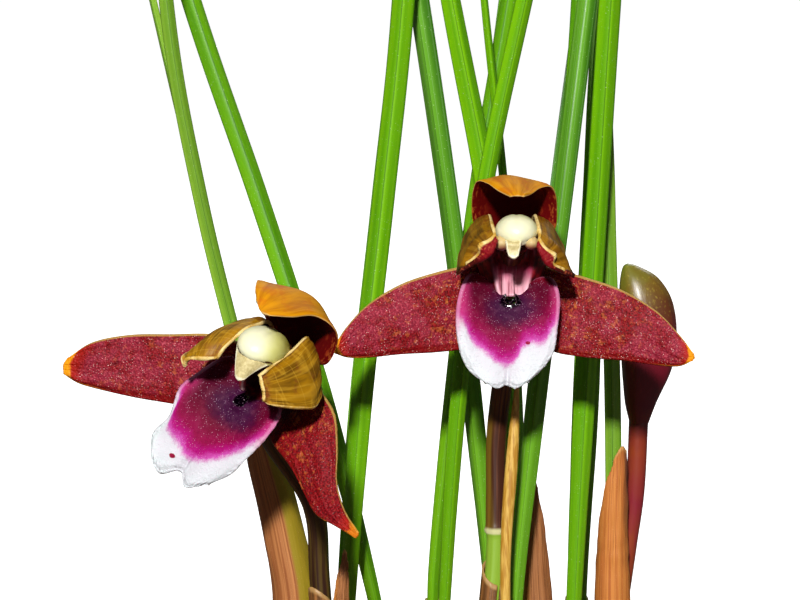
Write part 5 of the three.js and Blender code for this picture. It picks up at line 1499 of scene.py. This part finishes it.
def growBark():
    material = barkFinish()
    angle = turnAngles(bark["sides"])
    rings = [ringPoints(0, 0, r, r, angle, z) for z, r in bark["levels"]]
    makePiece("bark_bed", ringBody(rings), material, "bark", "bark_mix")
    for name, c in loose.items():
        inner = bark["radius"] - c["inset"]
        ring = ringPoints(0, 0, inner, inner, angle, bark["top"] + 0.6)
        disc = placed("disc", meshOf("disc", ring, [tuple(range(bark["sides"]))]))
        piece = grownMesh(disc, chipGroup(name, c["size"], c["corners"]), name, {
            "Spacing": c["spacing"] * mm, "Density": c["perSquareMetre"], "Seed": c["seed"],
            "Roughness": c["rough"] * mm, "Material": material})
        dressPiece(piece, material, "bark")
        piece.data.shade_flat()


growBark()
print("bark laid")


# The clay pot
pot = {
    "height": 80, "rimRadius": 49, "rimHeight": 17, "rimStep": 3, "baseRadius": 33, "wall": 4.5, "floor": 5,
    "bends": (0, 1.5, 0.5, 1.6, 1.8, 1.6, 2.5, 0), "drainRadius": 4, "drainCircle": 17, "drainCount": 3,
    "sides": 160,
}


def clayFinish():
    f = Finish("clay")
    height = f.add("ShaderNodeSeparateXYZ", None, {0: f.place}, "Z") * 1000
    grain = f.noise(f.spot(0.5), 4, 0.6)
    patch = f.noise(f.spot(14), 4, 0.6)
    damp = (height + (patch - 0.5) * 30).fade(34, 8)
    bloom = f.noise(f.spot(6), 5, 0.7).fade(0.53, 0.68) * (height + (patch - 0.5) * 20).fade(30, 62)
    colour = f.layered(
        f.mix("A4562F", "C4744A", patch.fade(0.35, 0.65)),
        ("8C4526", grain.fade(0.56, 0.7) * 0.5),
        ("7E3E22", damp * 0.7),
        ("DCC8B4", bloom * 0.5))
    rings = f.noise(f.spot(1.3, (0.02, 0.02, 1)), 2)
    return f.done(colour=colour, roughness=0.86 - damp * 0.2, normal=f.bump(grain * 0.5 + rings * 0.7, 0.25),
                  specular=0.25)


def outerRadius(z):
    return pot["baseRadius"] + (pot["rimRadius"] - pot["rimStep"] - pot["baseRadius"]) * z / pot["height"]


def bend(corner, before, after, radius, steps=5):      # rounds a corner of the profile
    corner, before, after = (np.array(p, float) for p in (corner, before, after))
    start = corner + unit(before - corner) * radius
    end = corner + unit(after - corner) * radius
    places = np.linspace(0, 1, steps)[:, None]
    return (1 - places) ** 2 * start + 2 * places * (1 - places) * corner + places ** 2 * end


def potProfile():                     # from the middle of the underside, over the rim, to the middle inside
    top, floor, rimLow = pot["height"], pot["floor"], pot["height"] - pot["rimHeight"]
    corners = [(0.5, 0), (pot["baseRadius"], 0), (outerRadius(rimLow), rimLow), (pot["rimRadius"], rimLow),
               (pot["rimRadius"], top), (outerRadius(top) - pot["wall"], top),
               (outerRadius(floor) - pot["wall"], floor), (0.5, floor)]
    profile = []
    for k, (corner, radius) in enumerate(zip(corners, pot["bends"])):
        if radius:
            profile += list(bend(corner, corners[k - 1], corners[k + 1], radius))
        else:
            profile.append(np.array(corner, float))
    fine = profile[:1]
    for first, second in zip(profile[:-1], profile[1:]):
        pieces = max(1, int(np.linalg.norm(second - first) / 3))
        fine += [first + (second - first) * (k + 1) / pieces for k in range(pieces)]
    return fine


def turnPot():
    angle = turnAngles(pot["sides"])
    rings = [ringPoints(0, 0, r, r, angle, z) for r, z in potProfile()]
    drillDrains(makePiece("pot_turned", ringBody(rings), clayFinish(), "clay", "pot"))


def drillDrains(piece):
    radius = pot["drainRadius"]
    for number in range(pot["drainCount"]):
        turn = 2 * math.pi * number / pot["drainCount"] + math.pi / 2
        x, y = pot["drainCircle"] * math.cos(turn), pot["drainCircle"] * math.sin(turn)
        shape = ringBody([ringPoints(x, y, radius, radius, turnAngles(40), z) for z in (-3, 8)])
        drill = placed("drill", meshOf("drill", shape.points, shape.faces))
        outward(drill.data)
        cut = piece.modifiers.new("drain", "BOOLEAN")
        cut.operation = "DIFFERENCE"
        cut.object = drill
        cut.solver = "EXACT"
        bpy.context.view_layer.update()
        drilled = piece.evaluated_get(bpy.context.evaluated_depsgraph_get())
        result = bpy.data.meshes.new_from_object(drilled)
        piece.modifiers.remove(cut)
        piece.data = result
        bpy.data.objects.remove(drill)
    piece.data.shade_smooth()


turnPot()
print("pot turned")


# Stage: a wide pale bowl, with soft studio light. Places and sizes here are in metres
studio = {
    "floorRadius": 4.2, "wallHeight": 6.0, "wallRadius": 7.0, "skyStrength": 0.075, "glow": 0.95, "sides": 96,
    # place, size and watts of each light
    "lights": {
        "key": ((-0.09, -1.0, 0.63), 0.07, 17), "fill": ((0.9, -0.8, 0.35), 0.7, 0.4),
        "back": ((0.3, 0.9, 0.9), 0.6, 4.5), "top": ((-0.2, 0.2, 1.3), 0.8, 1.0),
    },
    "aim": (0, -0.01, 0.12),
}


def bowlMesh():
    profile = [(0.4, 0), (studio["floorRadius"], 0)]
    for k in range(1, 17):
        t = math.pi / 2 * k / 16
        profile.append((studio["floorRadius"] + (studio["wallRadius"] - studio["floorRadius"]) * math.sin(t),
                        studio["wallHeight"] * (1 - math.cos(t))))
    sides = studio["sides"]
    angle = turnAngles(sides)
    points, faces = [(0, 0, 0)], []
    for r, z in profile:
        points += [(r * math.cos(a), r * math.sin(a), z) for a in angle]
    for j in range(sides):
        here, there = 1 + j, 1 + (j + 1) % sides
        faces.append((0, here, there))
        for row in range(0, (len(profile) - 1) * sides, sides):
            a, b = row + here, row + there
            faces.append((a, a + sides, b + sides, b))
    mesh = bpy.data.meshes.new("backdrop")
    mesh.from_pydata(points, [], faces)
    mesh.shade_smooth()
    return mesh


def setStage():
    paper = Finish("stage").done(colour=(0.93, 0.93, 0.93, 1), roughness=0.95, glow=(1, 1, 1, 1),
                                 glowStrength=studio["glow"])
    backdrop = placed("backdrop", bowlMesh())
    backdrop.data.materials.append(paper)
    backdrop.visible_diffuse = False
    backdrop.visible_glossy = False
    backdrop.visible_transmission = False


def setLights():
    world = bpy.data.worlds.new("studio")
    world.use_nodes = True
    sky = world.node_tree.nodes["Background"]
    sky.inputs["Color"].default_value = (1, 1, 1, 1)
    sky.inputs["Strength"].default_value = studio["skyStrength"]
    scene.world = world
    for name, (place, size, power) in studio["lights"].items():
        lamp = bpy.data.lights.new(name, "AREA")
        lamp.size = size
        lamp.energy = power
        light = placed(name, lamp)
        light.location = place
        aim = Vector(studio["aim"]) - light.location
        light.rotation_euler = aim.to_track_quat("-Z", "Y").to_euler()
    scene.view_settings.view_transform = "Standard"


setStage()
setLights()
print("stage set")
